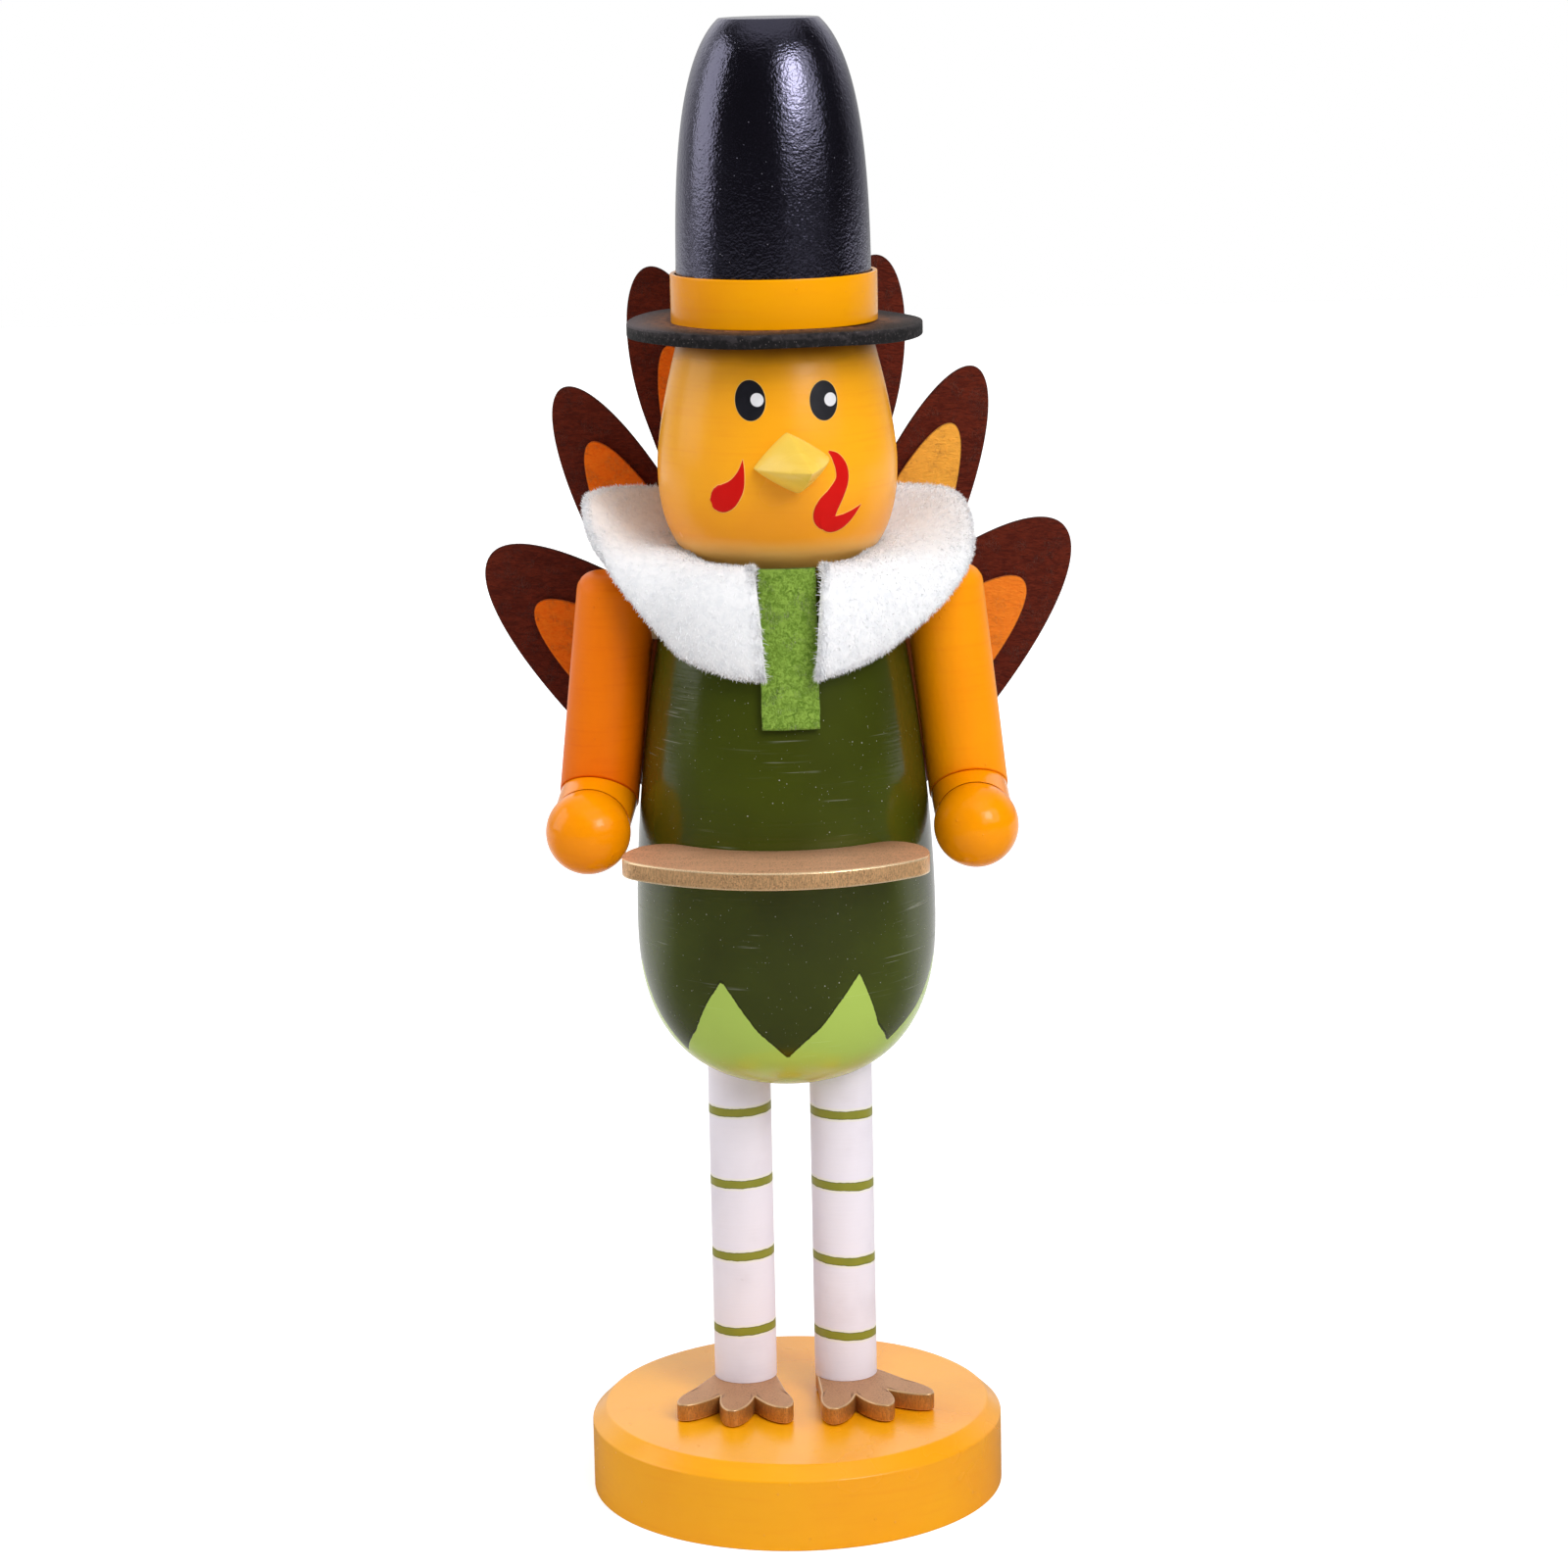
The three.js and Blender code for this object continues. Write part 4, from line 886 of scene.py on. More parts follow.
def beak_form():
    """Diamond rings from inside the head to the point: a ring is |cos|^p + |sin|^p = 1, with p a little over
    1 and growing to the point, a little rolled. It shrinks as 1 - u^q along the beak, drooping and leaning
    aside as it goes."""
    point_rows = 0.9 + 0.1 * np.sin(np.linspace(0, np.pi / 2, 12))[1:]
    u = np.concatenate([[-1.0], np.linspace(0, 0.9, 28), point_rows])[:, None]
    around = np.linspace(0, 2 * np.pi, 128, endpoint=False)[None]
    ahead = np.maximum(u, 0)
    bulge = BEAK_BULGE + BEAK_POINT_BULGE * ahead
    ring = (np.abs(np.cos(around)) ** bulge + np.abs(np.sin(around)) ** bulge) ** (-1 / bulge)
    size = (1 - ahead ** BEAK_POWER) * ring
    wide, high = size * np.cos(around) * BEAK_W / 2, size * np.sin(around) * BEAK_H / 2
    x = wide * np.cos(BEAK_ROLL) - high * np.sin(BEAK_ROLL) + ahead * BEAK_ASIDE
    z = wide * np.sin(BEAK_ROLL) + high * np.cos(BEAK_ROLL) + BEAK_RISE - ahead * BEAK_DROOP
    y = -HEAD_R - np.where(u < 0, u * BEAK_ROOT, u * BEAK_L) + 0 * around
    return np.stack([x, y, z], axis=-1)


beak_yellow = gloss_paint("beak_yellow", *BEAK_YELLOW, rough=0.2, peel=0.03, gloss=0.6)
fit("painted_beak", skin([moved(beak_form(), ON_NECK)]), beak_yellow, "beak_paint", "beak")

# Hat: a thin board brim in matt black, a raised orange band, and a tall turned crown in black gloss.
# The brim is fuzzy with brush marks and warps a little, and the crown has an orange peel and dust.

BRIM_Z = 280.9
BRIM_T = 3.2
BRIM_TOP_Z = BRIM_Z + BRIM_T
BRIM_R = 34.75
BRIM_EASE = 0.4
BRIM_WARP = 0.3
BRIM_RIPPLE = 0.15
BRIM_TIP_ASIDE = 0.5
BRIM_TIP_FRONT = 0.35
CROWN_Z = 285.5
CROWN_H = 68.4
CROWN_TOP_Z = CROWN_Z + CROWN_H
CROWN_R = 22.9
CROWN_TOP_R = 11.8
CROWN_POWER = 3
CROWN_EDGE = ((0.25, 0.12), (0.8, 0.16))
BAND_R = 24.3
BAND_BORE_R = CROWN_R + 0.3
BAND_Z = 283.9
BAND_H = 11.6
BAND_EASE = 0.35
ON_HEAD = Matrix.Translation((0, SETBACK, 0))
BRIM_BLACK = (19, 17, 19)
BRIM_SCUFF_AND_SHEEN_GREY = (128, 116, 120)
BRIM_DUST_AND_BAND_REFLECTION = (158, 106, 68)
BRIM_SPECK = (140, 132, 130)
BRIM_BAND_REFLECTION_SPAN = (0.0245, 0.0345)
BAND_ORANGE = ((253, 168, 0), (249, 154, 2))
CROWN_BLACK = ((6, 5, 8), (13, 11, 18))
CROWN_DUST = (170, 170, 178)
CROWN_SHEEN = (0.72, 0.7, 1.0, 1.0)


def brim_black(name):
    """Matt black on coarse board: fine grey scuffs and pits; a painted sheen that makes the top paler at the
    sides; a pale line along the rim, wear with a painted highlight; and near the band a brown that is dust
    with a painted reflection of the orange band."""
    material, feed, at = finish(name, Specular_IOR_Level=0.4)
    x, z = at.axes("XZ")
    away = from_axis(at)
    below_top, inside_rim = 1000 * (z - BRIM_TOP_Z / 1000), 1000 * (away - BRIM_R / 1000)
    grain = at.noise(1500, 3)
    scuff = at.noise(1000, 3, 0.4).step(0.48, 0.75)
    worn = (1 - away.step(*BRIM_BAND_REFLECTION_SPAN)) * at.noise(700, 4).step(0.25, 0.65)
    rim = inside_rim.step(-1.2, -0.6) * below_top.step(-1.6, -0.9)
    over = below_top.step(-0.7, -0.3)
    # Painted sheen at the sides of the top, and a pale rim line that is wear with a painted highlight.
    pale = (over * abs(x).step(0.019, 0.034)).top(0.3 * rim * at.noise(420, 2).step(0.3, 0.6))
    ground = (0.42 * pale + 0.13 * scuff).mix(tint(*BRIM_BLACK), tint(*BRIM_SCUFF_AND_SHEEN_GREY))
    # Painted reflection of the orange band near it, mixed with dust.
    dust_and_reflection = (0.62 * over * worn).mix(ground, tint(*BRIM_DUST_AND_BAND_REFLECTION))
    feed("Base Color", (0.3 * at.specks(1100, 0.2)).mix(dust_and_reflection, tint(*BRIM_SPECK)))
    feed("Roughness", 0.7 + 0.2 * grain)
    embossed(feed, grain + 0.8 * scuff, 0.14)
    return material


def crown_black(name):
    """Black gloss with a violet cast: a strong orange peel and dust nibs that catch the light."""
    material, feed, at = finish(name, IOR=1.8, Specular_IOR_Level=1.0, Specular_Tint=CROWN_SHEEN)
    peel = 0.8 * at.noise(640, 2) + 0.5 * at.noise(260, 2) + 0.7 * at.noise(1700, 1)
    nibs = at.specks(230, 0.05).top(at.specks(420, 0.06))
    cloud = at.noise(50, 3)
    black = cloud.mix(*[tint(*colour) for colour in CROWN_BLACK])
    feed("Base Color", (0.6 * nibs).mix(black, tint(*CROWN_DUST)))
    feed("Roughness", 0.12 + 0.1 * cloud + 0.2 * nibs)
    embossed(feed, peel + 1.5 * nibs, 0.11)
    return material


brim_corners = [(0, BRIM_Z), (BRIM_R, BRIM_Z), (BRIM_R, BRIM_TOP_Z), (0, BRIM_TOP_Z)]
brim_profile = rounded(brim_corners, BRIM_EASE)
brim_form = turned(brim_profile)
brim_turn = heading_of(brim_form)
brim_warp = BRIM_WARP * np.sin(2 * brim_turn + 0.9) + BRIM_RIPPLE * np.sin(5 * brim_turn)
brim_tip = BRIM_TIP_ASIDE * np.sin(brim_turn) + BRIM_TIP_FRONT * np.cos(brim_turn)
brim_form[..., 2] += np.clip(brim_profile[:, :1] / BRIM_R, 0, 1) ** 2 * (brim_warp - brim_tip)
fit("board_brim", skin([moved(brim_form, ON_HEAD)]), brim_black("brim_black"), "matt_black", "hat_brim")

band_wall = [(BAND_R, BAND_Z), (BAND_R, BAND_Z + BAND_H), (BAND_BORE_R, BAND_Z + BAND_H)]
band_profile = rounded([(BAND_BORE_R, BAND_Z), *band_wall, (BAND_BORE_R, BAND_Z)], BAND_EASE)
band_orange = gloss_paint("band_orange", *BAND_ORANGE, rough=0.14, peel=0.05, gloss=0.2)
band_mesh = skin([moved(turned(band_profile), ON_HEAD)])
fit("painted_band", band_mesh, band_orange, "orange_paint", "hat_band")

crown_rows = np.sin(np.linspace(0, np.pi / 2, 60))
crown_radius = rounded_fall(CROWN_R, CROWN_TOP_R, CROWN_POWER, crown_rows)
crown_side = np.stack([crown_radius, CROWN_Z + CROWN_H * crown_rows], axis=-1)
crown_top = [(CROWN_TOP_R - inward, CROWN_TOP_Z + rise) for inward, rise in CROWN_EDGE]
crown_top += [(0, CROWN_TOP_Z + CROWN_EDGE[-1][1])]
crown_form = moved(turned(np.concatenate([[(0, CROWN_Z)], crown_side, crown_top])), ON_HEAD)
fit("gloss_crown", skin([crown_form]), crown_black("crown_black"), "black_paint", "hat_crown")

# Collar: a strip of white plush, sewn double and laid round the neck, open in front over the tie.
# It stands up behind the head, drops over the shoulders and lies on the chest in two lapels.

COLLAR_T = 3.7
COLLAR_SECTION = 0.62
COLLAR_NECK_R = 23.2
COLLAR_NECK_FRONT_R = 26.6
COLLAR_NECK_FRONT_DROP = 1.4
COLLAR_NECK_BACK_R = 29.0
COLLAR_NECK_BACK_RISE = 2.0
COLLAR_SIDE_R = 43.6
COLLAR_BACK_R = 31.2
COLLAR_BACK_POWER = 2.5
COLLAR_WIDER = {"left": 2.3, "right": 2.1}
COLLAR_RIGHT_CORNER = 1.6
COLLAR_NECK_Z = BODY_TOP_Z + 2.3
COLLAR_DROP = 21.2
COLLAR_TIP_DROP = 4.0
COLLAR_BACK_RISE = 10.8
COLLAR_NECK_GAP = 17.0
COLLAR_TIP_GAP = 11.5
COLLAR_GAP_SHIFT = 2.1
COLLAR_OFF_BODY = 4.6
COLLAR_FOLDS = 1.6
LAPEL_END = 0.021
PLUSH_WHITE = (243, 243, 245)
PLUSH_GREY = (235, 236, 239)
PILE_COUNT = 60000
PILE_LENGTH = 0.65
PILE_EDGE_LENGTH = 1.6
PILE_HALF_W = 0.085
PILE_AT_ENDS = 0.05
PILE_RING = (-0.3 * np.pi, 1.25 * np.pi)
PILE_SPREAD = 0.35
PILE_CURL = 0.12


def ease_between(value, low, high):
    """Smooth step from 0 at low to 1 at high."""
    share = np.clip((value - low) / (high - low), 0, 1)
    return share * share * (3 - 2 * share)


def blended(first, second, share):
    """Value this share of the way from first to second."""
    return first + (second - first) * share


def over_tie(height):
    """Radius at which the collar lies on the tie."""
    return body_radius(height) + COLLAR_OFF_BODY


def collar_point(turn, ring):
    """Point of the collar. Turn runs from -1 to 1 round the neck from lapel to lapel, and ring once round
    the strip's section, a flat superellipse bent along a curve from neck edge to bend to rim. Heading is in
    degrees from the front, and each ease along it gives a part of the collar its own reach or height."""
    soft = lambda value: np.sign(value) * np.abs(value) ** COLLAR_SECTION
    v = 0.5 + 0.5 * soft(np.cos(ring))
    past = np.maximum(np.abs(turn) - 1 + LAPEL_END, 0) / LAPEL_END
    close = np.sqrt(np.clip(1 - past ** 2, 0, 1))
    h = soft(np.sin(ring)) * COLLAR_T / 2 * close
    lapel_z = COLLAR_NECK_Z - COLLAR_DROP
    front_r = blended(COLLAR_NECK_FRONT_R, over_tie(np.array(lapel_z - COLLAR_TIP_DROP)), np.sqrt(v))
    opening = np.arcsin(blended(COLLAR_NECK_GAP, COLLAR_TIP_GAP, v) / 2 / front_r)
    around = turn * (np.pi - opening) - np.arcsin(COLLAR_GAP_SHIFT / front_r) * turn ** 4
    on_right = around < 0
    heading = 180 - np.abs(np.degrees(around))
    behind = ease_between(heading, 110, 180)
    lifted = ease_between(heading, 38, np.where(on_right, 98, 118))
    draped = 1 - ease_between(heading, 60, 110)
    in_front = 1 - ease_between(heading, 30, 70)
    tip_drop = COLLAR_TIP_DROP * (1 - ease_between(heading, 12, 48))
    neck_r = blended(COLLAR_NECK_R, COLLAR_NECK_FRONT_R, in_front)
    neck_r = blended(neck_r, COLLAR_NECK_BACK_R, behind)
    neck_z = COLLAR_NECK_Z + COLLAR_NECK_BACK_RISE * behind - COLLAR_NECK_FRONT_DROP * in_front
    front_rim = blended(over_tie(lapel_z - tip_drop), COLLAR_SIDE_R, ease_between(heading, 48, 90))
    off, power = np.radians(180 - heading), COLLAR_BACK_POWER
    back_part = (np.abs(np.cos(off)) / COLLAR_BACK_R) ** power
    back_rim = ((np.sin(off) / COLLAR_SIDE_R) ** power + back_part) ** (-1 / power)
    at_side = ease_between(heading, 35, 75) * (1 - ease_between(heading, 118, 165))
    wider = np.where(on_right, COLLAR_WIDER["right"], COLLAR_WIDER["left"]) * at_side
    rim_r = np.where(heading < 90, front_rim, back_rim) + wider
    at_corner = ease_between(heading, 72, 100) * (1 - ease_between(heading, 112, 145))
    corner = np.where(on_right, COLLAR_RIGHT_CORNER, 0) * at_corner
    rim_z = blended(lapel_z - tip_drop, COLLAR_NECK_Z + COLLAR_BACK_RISE, lifted) + corner
    bend_r = blended(neck_r, rim_r, blended(0.5, 0.98, draped))
    bend_z = neck_z + draped
    before_r, before_z = blended(neck_r, bend_r, v), blended(neck_z, bend_z, v)
    after_r, after_z = blended(bend_r, rim_r, v), blended(bend_z, rim_z, v)
    along = np.hypot(after_r - before_r, after_z - before_z)
    fold = 0.45 * np.sin(5.2 * around + 2.5 * v) + 0.3 * np.sin(9.1 * around - 4 * v + 1)
    h = h + fold * v * (1 - v) * COLLAR_FOLDS * close
    r = blended(before_r, after_r, v) - h * (after_z - before_z) / along
    z = blended(before_z, after_z, v) + h * (after_r - before_r) / along
    return np.stack([r * np.sin(around), r * np.cos(around) + SETBACK, z], axis=-1)


def plush(name):
    """White plush: tufts of one or two millimetres in the bump, and a faint grey between them."""
    soft = {"Sheen_Weight": 0.04, "Sheen_Roughness": 0.6, "Roughness": 1.0, "Specular_IOR_Level": 0.1}
    material, feed, at = finish(name, **soft)
    tufts = at.noise(520, 3, 0.6)
    feed("Base Color", tufts.step(0.3, 0.62).mix(tint(*PLUSH_GREY), tint(*PLUSH_WHITE)))
    embossed(feed, tufts + 0.5 * at.noise(1500, 2), 0.18)
    return material


def unit(vectors):
    """Vectors brought to a length of 1."""
    return vectors / (np.linalg.norm(vectors, axis=1)[:, None] + 1e-12)


def pile_form():
    """Hairs on the collar: each is a narrow blade of three rows from its root to its tip, at a random place
    on the strip. On the flat they lie towards the rim, and along the cut edges they are longer and stand
    out."""
    chance = np.random.default_rng(7)
    turn = chance.uniform(-1, 1, PILE_COUNT)
    end = chance.random(PILE_COUNT) < PILE_AT_ENDS
    turn = np.where(end, np.sign(turn) * (1 - LAPEL_END * chance.random(PILE_COUNT)), turn)
    ring = chance.uniform(*PILE_RING, PILE_COUNT)
    root = collar_point(turn, ring)
    inward = np.where(turn > 0, -1, 1) * 2e-3
    by_turn = (collar_point(turn + inward, ring) - root) * np.sign(inward)[:, None]
    by_ring = collar_point(turn, ring + 4e-3) - root
    square = unit(np.cross(by_turn, by_ring))
    middle = collar_point(turn, ring + np.pi)
    square *= np.where(np.sum(square * (root - middle), axis=1) < 0, -1, 1)[:, None]
    to_rim = -unit(by_ring) * np.sign(np.sin(ring))[:, None]
    lapel_edge = ease_between(np.abs(turn), 1 - LAPEL_END, 0.997)
    long_edge = 0.55 * ease_between(np.abs(np.cos(ring)), 0.86, 1)
    edge = np.maximum(lapel_edge, long_edge)[:, None]
    way = blended(0.45, 1, edge) * square + blended(1, 0.2, edge) * to_rim
    way = unit(way + PILE_SPREAD * chance.normal(size=(PILE_COUNT, 3)))
    length = blended(PILE_LENGTH, PILE_EDGE_LENGTH, edge) * chance.uniform(0.5, 1.15, PILE_COUNT)[:, None]
    across = PILE_HALF_W * unit(np.cross(way, chance.normal(size=(PILE_COUNT, 3))))
    mid = root + 0.55 * length * way
    tip = root + length * (way + PILE_CURL * chance.normal(size=(PILE_COUNT, 3)))
    return np.stack([root - across, root + across, mid - 0.8 * across, mid + 0.8 * across, tip], axis=1)


def blades(forms):
    """Mesh of many blades of five points each: a quad from root to middle and a triangle to the tip."""
    count = len(forms)
    first = 5 * np.arange(count)[:, None]
    loops = first + np.array([0, 1, 3, 2, 2, 3, 4])
    starts = 7 * np.arange(count)[:, None] + np.array([0, 4])
    return mesh_of(forms.reshape(-1, 3), loops.ravel(), starts.ravel())


white_plush = plush("white_plush")
lapel_rows = np.linspace(0.975, 1, 11)[1:]
collar_rows = np.concatenate([-lapel_rows[::-1], np.linspace(-0.975, 0.975, 261), lapel_rows])
section = np.linspace(0, 2 * np.pi, 72, endpoint=False)
collar_mesh = skin([collar_point(*np.meshgrid(collar_rows, section, indexing="ij"))])
collar_piece = fit("plush_collar", collar_mesh, white_plush, "white_plush", "collar")
fit("collar_pile", blades(pile_form()), white_plush, "white_plush")

# Tie: a strip of green felt laid down the chest from under the chin and glued to the body.
# It is cut by hand with scissors, so its long edges waver a little and show a darker cut.

TIE_W = 13.5
TIE_T = 1.6
TIE_EASE = 0.35
TIE_GAP = 0.3
TIE_WAVER = 0.06
TIE_LOW = BODY_TOP_Z - 35.1
TIE_HIGH = BODY_TOP_Z + 1.6
TIE_TURN = np.radians(3.4)
TIE_GREEN = ((144, 176, 74), (94, 126, 40), (216, 222, 170))
TIE_FIBRE = 800
# Painted light and shade on felt: a paler tone towards +X where the lamps light more, and a brown where it
# shows in shade between arms and body.
LIT_SIDE_SPAN = (-0.03, 0.04)
LIT_SIDE_HEIGHTS = (0.215, 0.24)
GAP_SHADE_BROWN = (60, 22, 8)


def felt(name, colours, fibre_scale, depth, lie=1.0, gap_shade=(0, 0), lit_colour=None):
    """Pressed felt in three colours, its own, its shade and its threads': fibres of about a millimetre, drawn
    out along X as the lie is smaller, a few long threads, and a cut edge that is darker. The wall field is 1
    along the cut. Within the given half width and below the given height, in metres, the felt is darkened to
    a brown as painted shade, where it shows in the gaps by the arms. Towards +X, and more so higher up, it
    turns to the paler colour given last, where there is one: painted light on the side the lamps light more."""
    soft = {"Sheen_Weight": 0.06, "Sheen_Roughness": 0.5, "Roughness": 0.95, "Specular_IOR_Level": 0.1}
    material, feed, at = finish(name, **soft)
    colour, shade, thread = colours
    laid = at.stretch(lie, 1, 1)
    fibres = laid.noise(fibre_scale, 4, 1.2)
    fine = laid.noise(3.2 * fibre_scale, 3, 0.8)
    lines = at.stretch(1, 1, 0.35).noise(0.9 * fibre_scale, 2, 3.0)
    threads = (1 - abs(lines - 0.5).step(0.004, 0.022)) * at.noise(0.3 * fibre_scale, 2).step(0.5, 0.65)
    x, z = at.axes("XZ")
    # Painted light: towards +X the felt turns to the paler colour.
    lit_ground, lit_dim = (lit_colour, dimmed(lit_colour, 0.95)) if lit_colour else (colour, shade)
    aside = x.step(*LIT_SIDE_SPAN) * (0.25 + 0.75 * z.step(*LIT_SIDE_HEIGHTS))
    ground = aside.mix(tint(*colour), tint(*lit_ground))
    dim = aside.mix(tint(*shade), tint(*lit_dim))
    cloth = (0.6 * fibres + 0.4 * fine).step(0.36, 0.64).mix(dim, ground)
    # Threads: on the brown felt their pale colour also stands in for glints on the fibres, a painted
    # highlight.
    threaded = (0.5 * threads).mix(cloth, tint(*thread))
    # Painted shade: a brown where the felt shows in the gaps between arms and body.
    shade_half, shade_top = gap_shade
    gap_shaded = (1 - abs(x).step(shade_half - 0.005, shade_half)) * (1 - z.step(shade_top - 0.01, shade_top))
    unshaded = (0.55 * at.field("wall")).mix(threaded, tint(*dimmed(shade, 0.5)))
    feed("Base Color", (0.88 * gap_shaded).mix(unshaded, tint(*GAP_SHADE_BROWN)))
    embossed(feed, fibres + 0.5 * fine + 0.6 * threads, depth)
    return material


def tie_form():
    """Strip wrapped on the chest: at each height its section is an oblong with eased corners that follows the
    body's round. Rows run from the bottom edge up."""
    side, level, push_x, push_r = oblong_ring(4, 18)
    closing = np.array([0, 0.9])
    heights = np.linspace(TIE_LOW, TIE_HIGH, 60)
    height = np.concatenate([[TIE_LOW, TIE_LOW], heights, [TIE_HIGH, TIE_HIGH]])[:, None]
    share = np.concatenate([closing, np.ones(60), closing[::-1]])[:, None]
    across = share * (side * (TIE_W / 2 - TIE_EASE) + push_x * TIE_EASE)
    across += TIE_WAVER * np.sin(0.9 * height) * np.sign(across) * (np.abs(across) > 5)
    middle = body_radius(height) + TIE_GAP + TIE_T / 2
    reach = middle + share * (level * (TIE_T / 2 - TIE_EASE) + push_r * TIE_EASE)
    turn = across / middle + TIE_TURN
    wall = np.abs(push_x) + 0 * across
    wall[:2] = wall[-2:] = 1
    x, y = reach * np.sin(turn), SETBACK - reach * np.cos(turn)
    return np.stack([x, y, height + 0 * across, wall], axis=-1)


tie_felt = felt("tie_felt", TIE_GREEN, TIE_FIBRE, 0.4)
tie_piece = fit("felt_tie", skin([tie_form()], ("wall",)), tie_felt, "green_felt", "neck_tie")

# Tail: two fans of feathers cut from stiff felt, a smaller orange one glued on a brown one, and both
# glued to the flat on the body's back. The felt is embossed with long fibres.

TAIL_X = 1.6
TAIL_Z = 160.7
TAIL_TILT = np.radians(1.8)
TAIL_ROOT_R = 22.0
TAIL_EASE = 0.3
TAIL_FIBRE = 900
BROWN_FEATHERS = [(11.8, 137.0, 20.6, 28.7), (25.5, 117.2, 23.6, 43.9), (46.8, 96.4, 41.4, 76.4)]
BROWN_T = 2.0
BROWN_BACK = 38.7
# Brown felt: its own colour, its shade, and a pale thread colour that also stands in for glints on the
# fibres, a painted highlight.
BROWN = ((105, 40, 25), (80, 27, 18), (158, 88, 66))
ORANGE_FEATHERS = [(11.8, 117.5, 14.0, 32.0), (25.6, 102.5, 19.8, 52.0), (48.3, 80.0, 26.0, 62.0)]
ORANGE_T = 1.5
ORANGE_BACK = 36.4
ORANGE = ((255, 124, 26), (250, 108, 14), (255, 176, 78))
# The orange fan's paler colour towards +X is painted light, and the brown at its root is painted shade in the
# gaps between arms and body.
ORANGE_LIT = (255, 180, 70)
ORANGE_GAP_SHADE = (0.049, 0.229)


def feather_fan(name, feathers, thick, back, cloth, slot, node, rests_on):
    """Fan of six feathers cut from a sheet, stood upright with its back this far behind the body's axis."""
    petals = [(sign * turn, *form) for sign in (-1, 1) for turn, *form in feathers]
    outline = fan_outline(petals, TAIL_ROOT_R, 1500)
    upright = Matrix.Translation((TAIL_X, SETBACK + back, TAIL_Z))
    upright = upright @ Matrix.Rotation(-TAIL_TILT, 4, "Y") @ Matrix.Rotation(np.pi / 2, 4, "X")
    form = moved(slab(outline, thick, TAIL_EASE, 10), upright)
    piece = fit(name, skin([form], ("rim", "wall")), cloth, slot, node)


brown_felt = felt("tail_brown", BROWN, TAIL_FIBRE, 0.55, 0.3)
orange_felt = felt("tail_orange", ORANGE, TAIL_FIBRE, 0.35, 0.4, ORANGE_GAP_SHADE, ORANGE_LIT)
brown_cut = (BROWN_FEATHERS, BROWN_T, BROWN_BACK)
orange_cut = (ORANGE_FEATHERS, ORANGE_T, ORANGE_BACK)
feather_fan("brown_fan", *brown_cut, brown_felt, "brown_felt", "tail_fan", "body")
feather_fan("orange_fan", *orange_cut, orange_felt, "orange_felt", "tail_fan_front", "brown_fan")

# Fixings inside: birch dowels in neck, hat, beak, shoulders and forearms, and steel screws and pins.
# They keep the shapes of the frame, and only the screw heads show, under the base.

BIRCH = ((226, 200, 154), (196, 160, 110))
BIRCH_GRAIN = (700, 700, 40)
STEEL = ((200, 200, 204), (164, 164, 170))


def birch(name):
    """Bare birch: pale wood with fine streaks along Z."""
    material, feed, at = finish(name)
    streak = at.stretch(*BIRCH_GRAIN).noise(1, 4)
    feed("Base Color", streak.mix(*[tint(*colour) for colour in BIRCH]))
    feed("Roughness", 0.6 + 0.2 * streak)
    embossed(feed, streak, 0.05)
    return material


def plated_steel(name):
    """Zinc-plated steel with fine turning marks."""
    material, feed, at = finish(name, Metallic=1.0)
    marks = at.noise(1800, 2)
    feed("Base Color", marks.mix(*[tint(*colour) for colour in STEEL]))
    feed("Roughness", 0.28 + 0.2 * marks)
    return material


inner_finish = {
    "dowel": birch("dowel_birch"),
    "screw": plated_steel("screw_steel"),
    "pin": plated_steel("pin_steel"),
}
for name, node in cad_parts.items():
    for word, material in inner_finish.items():
        if word in name:
            node.data.materials.clear()
            node.data.materials.append(material)

# Stage: a pale floor that runs into a white surround. A broad lamp with a brighter core stands high on the
# right, a tall one far round on the left, and one overhead that reflections don't show. A weak fill is
# stronger from the left and behind. The camera stands a metre off, a little above the hat.

FLOOR_HALF = 3000.0
FLOOR_GREY = (0.72, 0.72, 0.72, 1)
FLOOR_GREY_MIRRORED = (0.22, 0.22, 0.22, 1)
# A lamp is its place, its width and height, both in metres, and its power in watts.
LAMPS = {
    "right_lamp": ((1.19, -1.3, 1.18), (1.82, 1.19), 9.3),
    "right_core": ((1.04, -1.37, 1.28), (0.7, 0.7), 10.2),
    "left_lamp": ((-1.68, 0.14, 0.88), (1.09, 1.33), 7.1),
    "over_lamp": ((0.49, -1.01, 1.91), (1.54, 1.26), 18.9),
}
LAMP_AIM = Vector((0, 0, 0.19))
CAMERA_AWAY = 1.0265
CAMERA_HIGH = 0.3839
CAMERA_PITCH = 0.2017
CAMERA_ROLL = np.radians(-1.18)
FOCAL_PIXELS = 4486.0
FRAME_PIXELS = 1600.0
SENSOR = 36

floor_material, feed_floor, spot = finish("pale_floor", Roughness=0.9, Specular_IOR_Level=0.1)
floor_tree = floor_material.node_tree
seen = spot.node("LightPath", {}, out="Is Camera Ray")
mirrored = spot.node("LightPath", {}, out="Is Glossy Ray")
away = spot.node("VectorMath", {0: spot}, out="Value", operation="LENGTH")
behind = spot.axes("Y")[0].step(0.0, 0.28)
shown = seen * (0.62 + 0.3 * away.step(0.1, 1.2)) + 0.8 * mirrored * behind
feed_floor("Base Color", mirrored.mix(FLOOR_GREY, FLOOR_GREY_MIRRORED))
glow = seen.node("Emission", {"Color": (1, 1, 1, 1), "Strength": shown})
painted = Wire(floor_tree, floor_tree.nodes["Principled BSDF"].outputs[0])
both = seen.node("AddShader", {0: painted, 1: glow})
floor_tree.links.new(both.socket, floor_tree.nodes["Material Output"].inputs["Surface"])
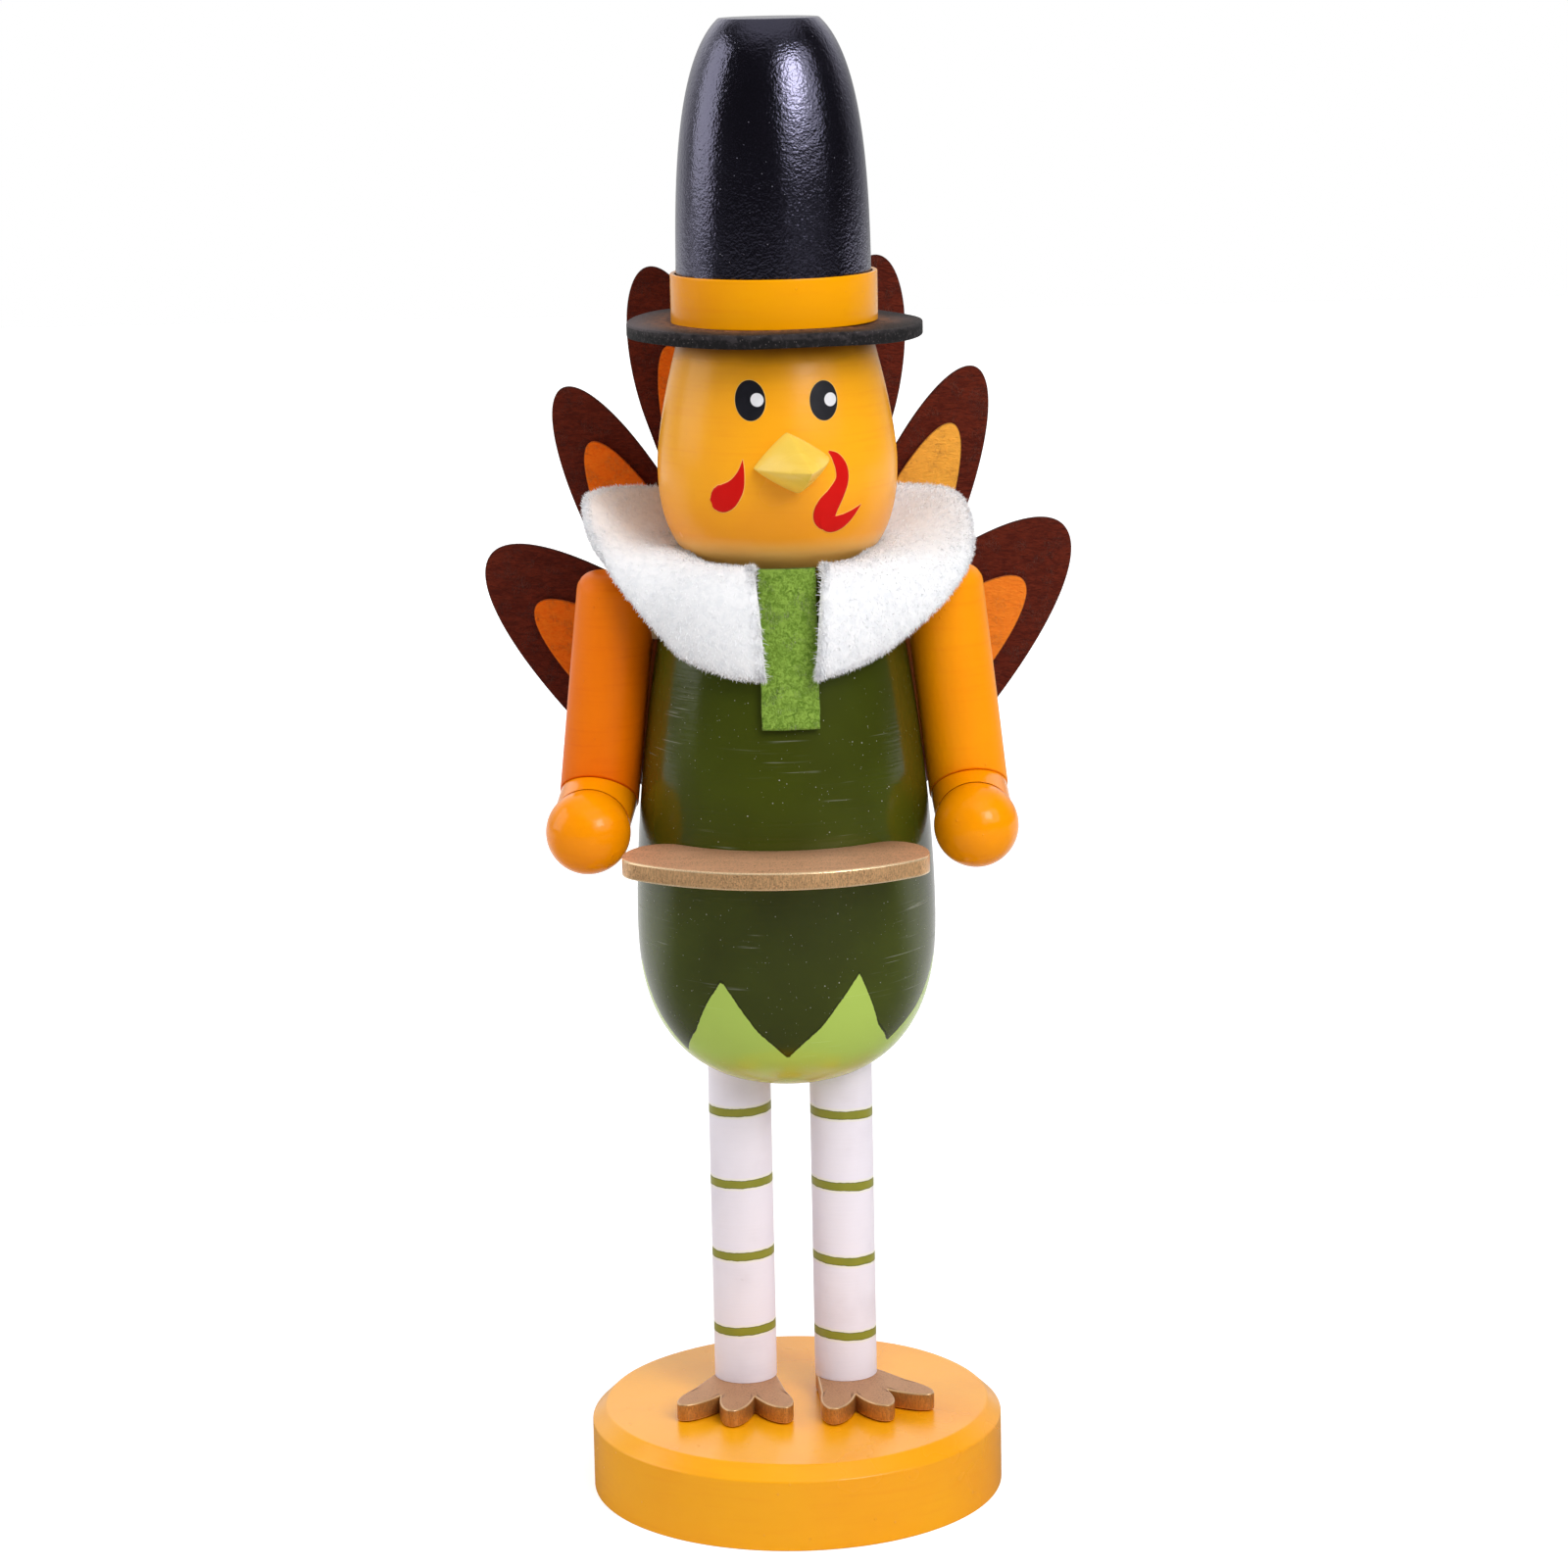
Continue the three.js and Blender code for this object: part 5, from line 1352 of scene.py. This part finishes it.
floor_spots = np.array([[[-1, -1, 0], [1, -1, 0]], [[-1, 1, 0], [1, 1, 0]]]) * FLOOR_HALF
floor = bpy.data.objects.new("floor", skin([floor_spots], wrap=False))
bpy.context.scene.collection.objects.link(floor)
floor.data.materials.append(floor_material)

for name, (place, size, power) in LAMPS.items():
    light = bpy.data.lights.new(name, "AREA")
    light.shape = "RECTANGLE"
    light.size, light.size_y = size
    light.energy = power
    lamp = bpy.data.objects.new(name, light)
    bpy.context.scene.collection.objects.link(lamp)
    lamp.location = place
    lamp.rotation_euler = (lamp.location - LAMP_AIM).to_track_quat("Z", "Y").to_euler()
    lamp.visible_glossy = name != "over_lamp"

world = bpy.data.worlds.new("white_surround")
bpy.context.scene.world = world
world.use_nodes = True
sky = Wire(world.node_tree, None)
direct = sky.node("LightPath", {}, out="Is Camera Ray")
glossy = sky.node("LightPath", {}, out="Is Glossy Ray")
clear = sky.node("LightPath", {}, out="Is Transmission Ray")
aside, behind, up = sky.node("TexCoord", {}, out="Generated").axes()
wall = (0.56 - 0.25 * aside + 0.6 * up.step(0.05, 0.35)) * behind.step(0.2, 0.9)
room = 0.02 + wall + 0.4 * up.step(0.7, 0.95)
fill = 0.24 + 0.4 * behind.step(-0.2, 0.8) + 0.5 * (0 - aside).step(0.2, 1)
straight = direct.top(clear)
strength = straight.top(glossy * room) + (1 - straight.top(glossy)) * fill
background = world.node_tree.nodes["Background"]
background.inputs["Color"].default_value = (1, 1, 1, 1)
world.node_tree.links.new(strength.socket, background.inputs["Strength"])

eye = bpy.data.cameras.new("camera")
eye.sensor_width = SENSOR
eye.lens = SENSOR * FOCAL_PIXELS / FRAME_PIXELS
camera = bpy.data.objects.new("camera", eye)
bpy.context.scene.collection.objects.link(camera)
aimed = Matrix.Rotation(np.pi / 2 - CAMERA_PITCH, 4, "X") @ Matrix.Rotation(CAMERA_ROLL, 4, "Z")
camera.matrix_world = Matrix.Translation((0, -CAMERA_AWAY, CAMERA_HIGH)) @ aimed
bpy.context.scene.camera = camera
bpy.context.scene.view_settings.view_transform = "Standard"
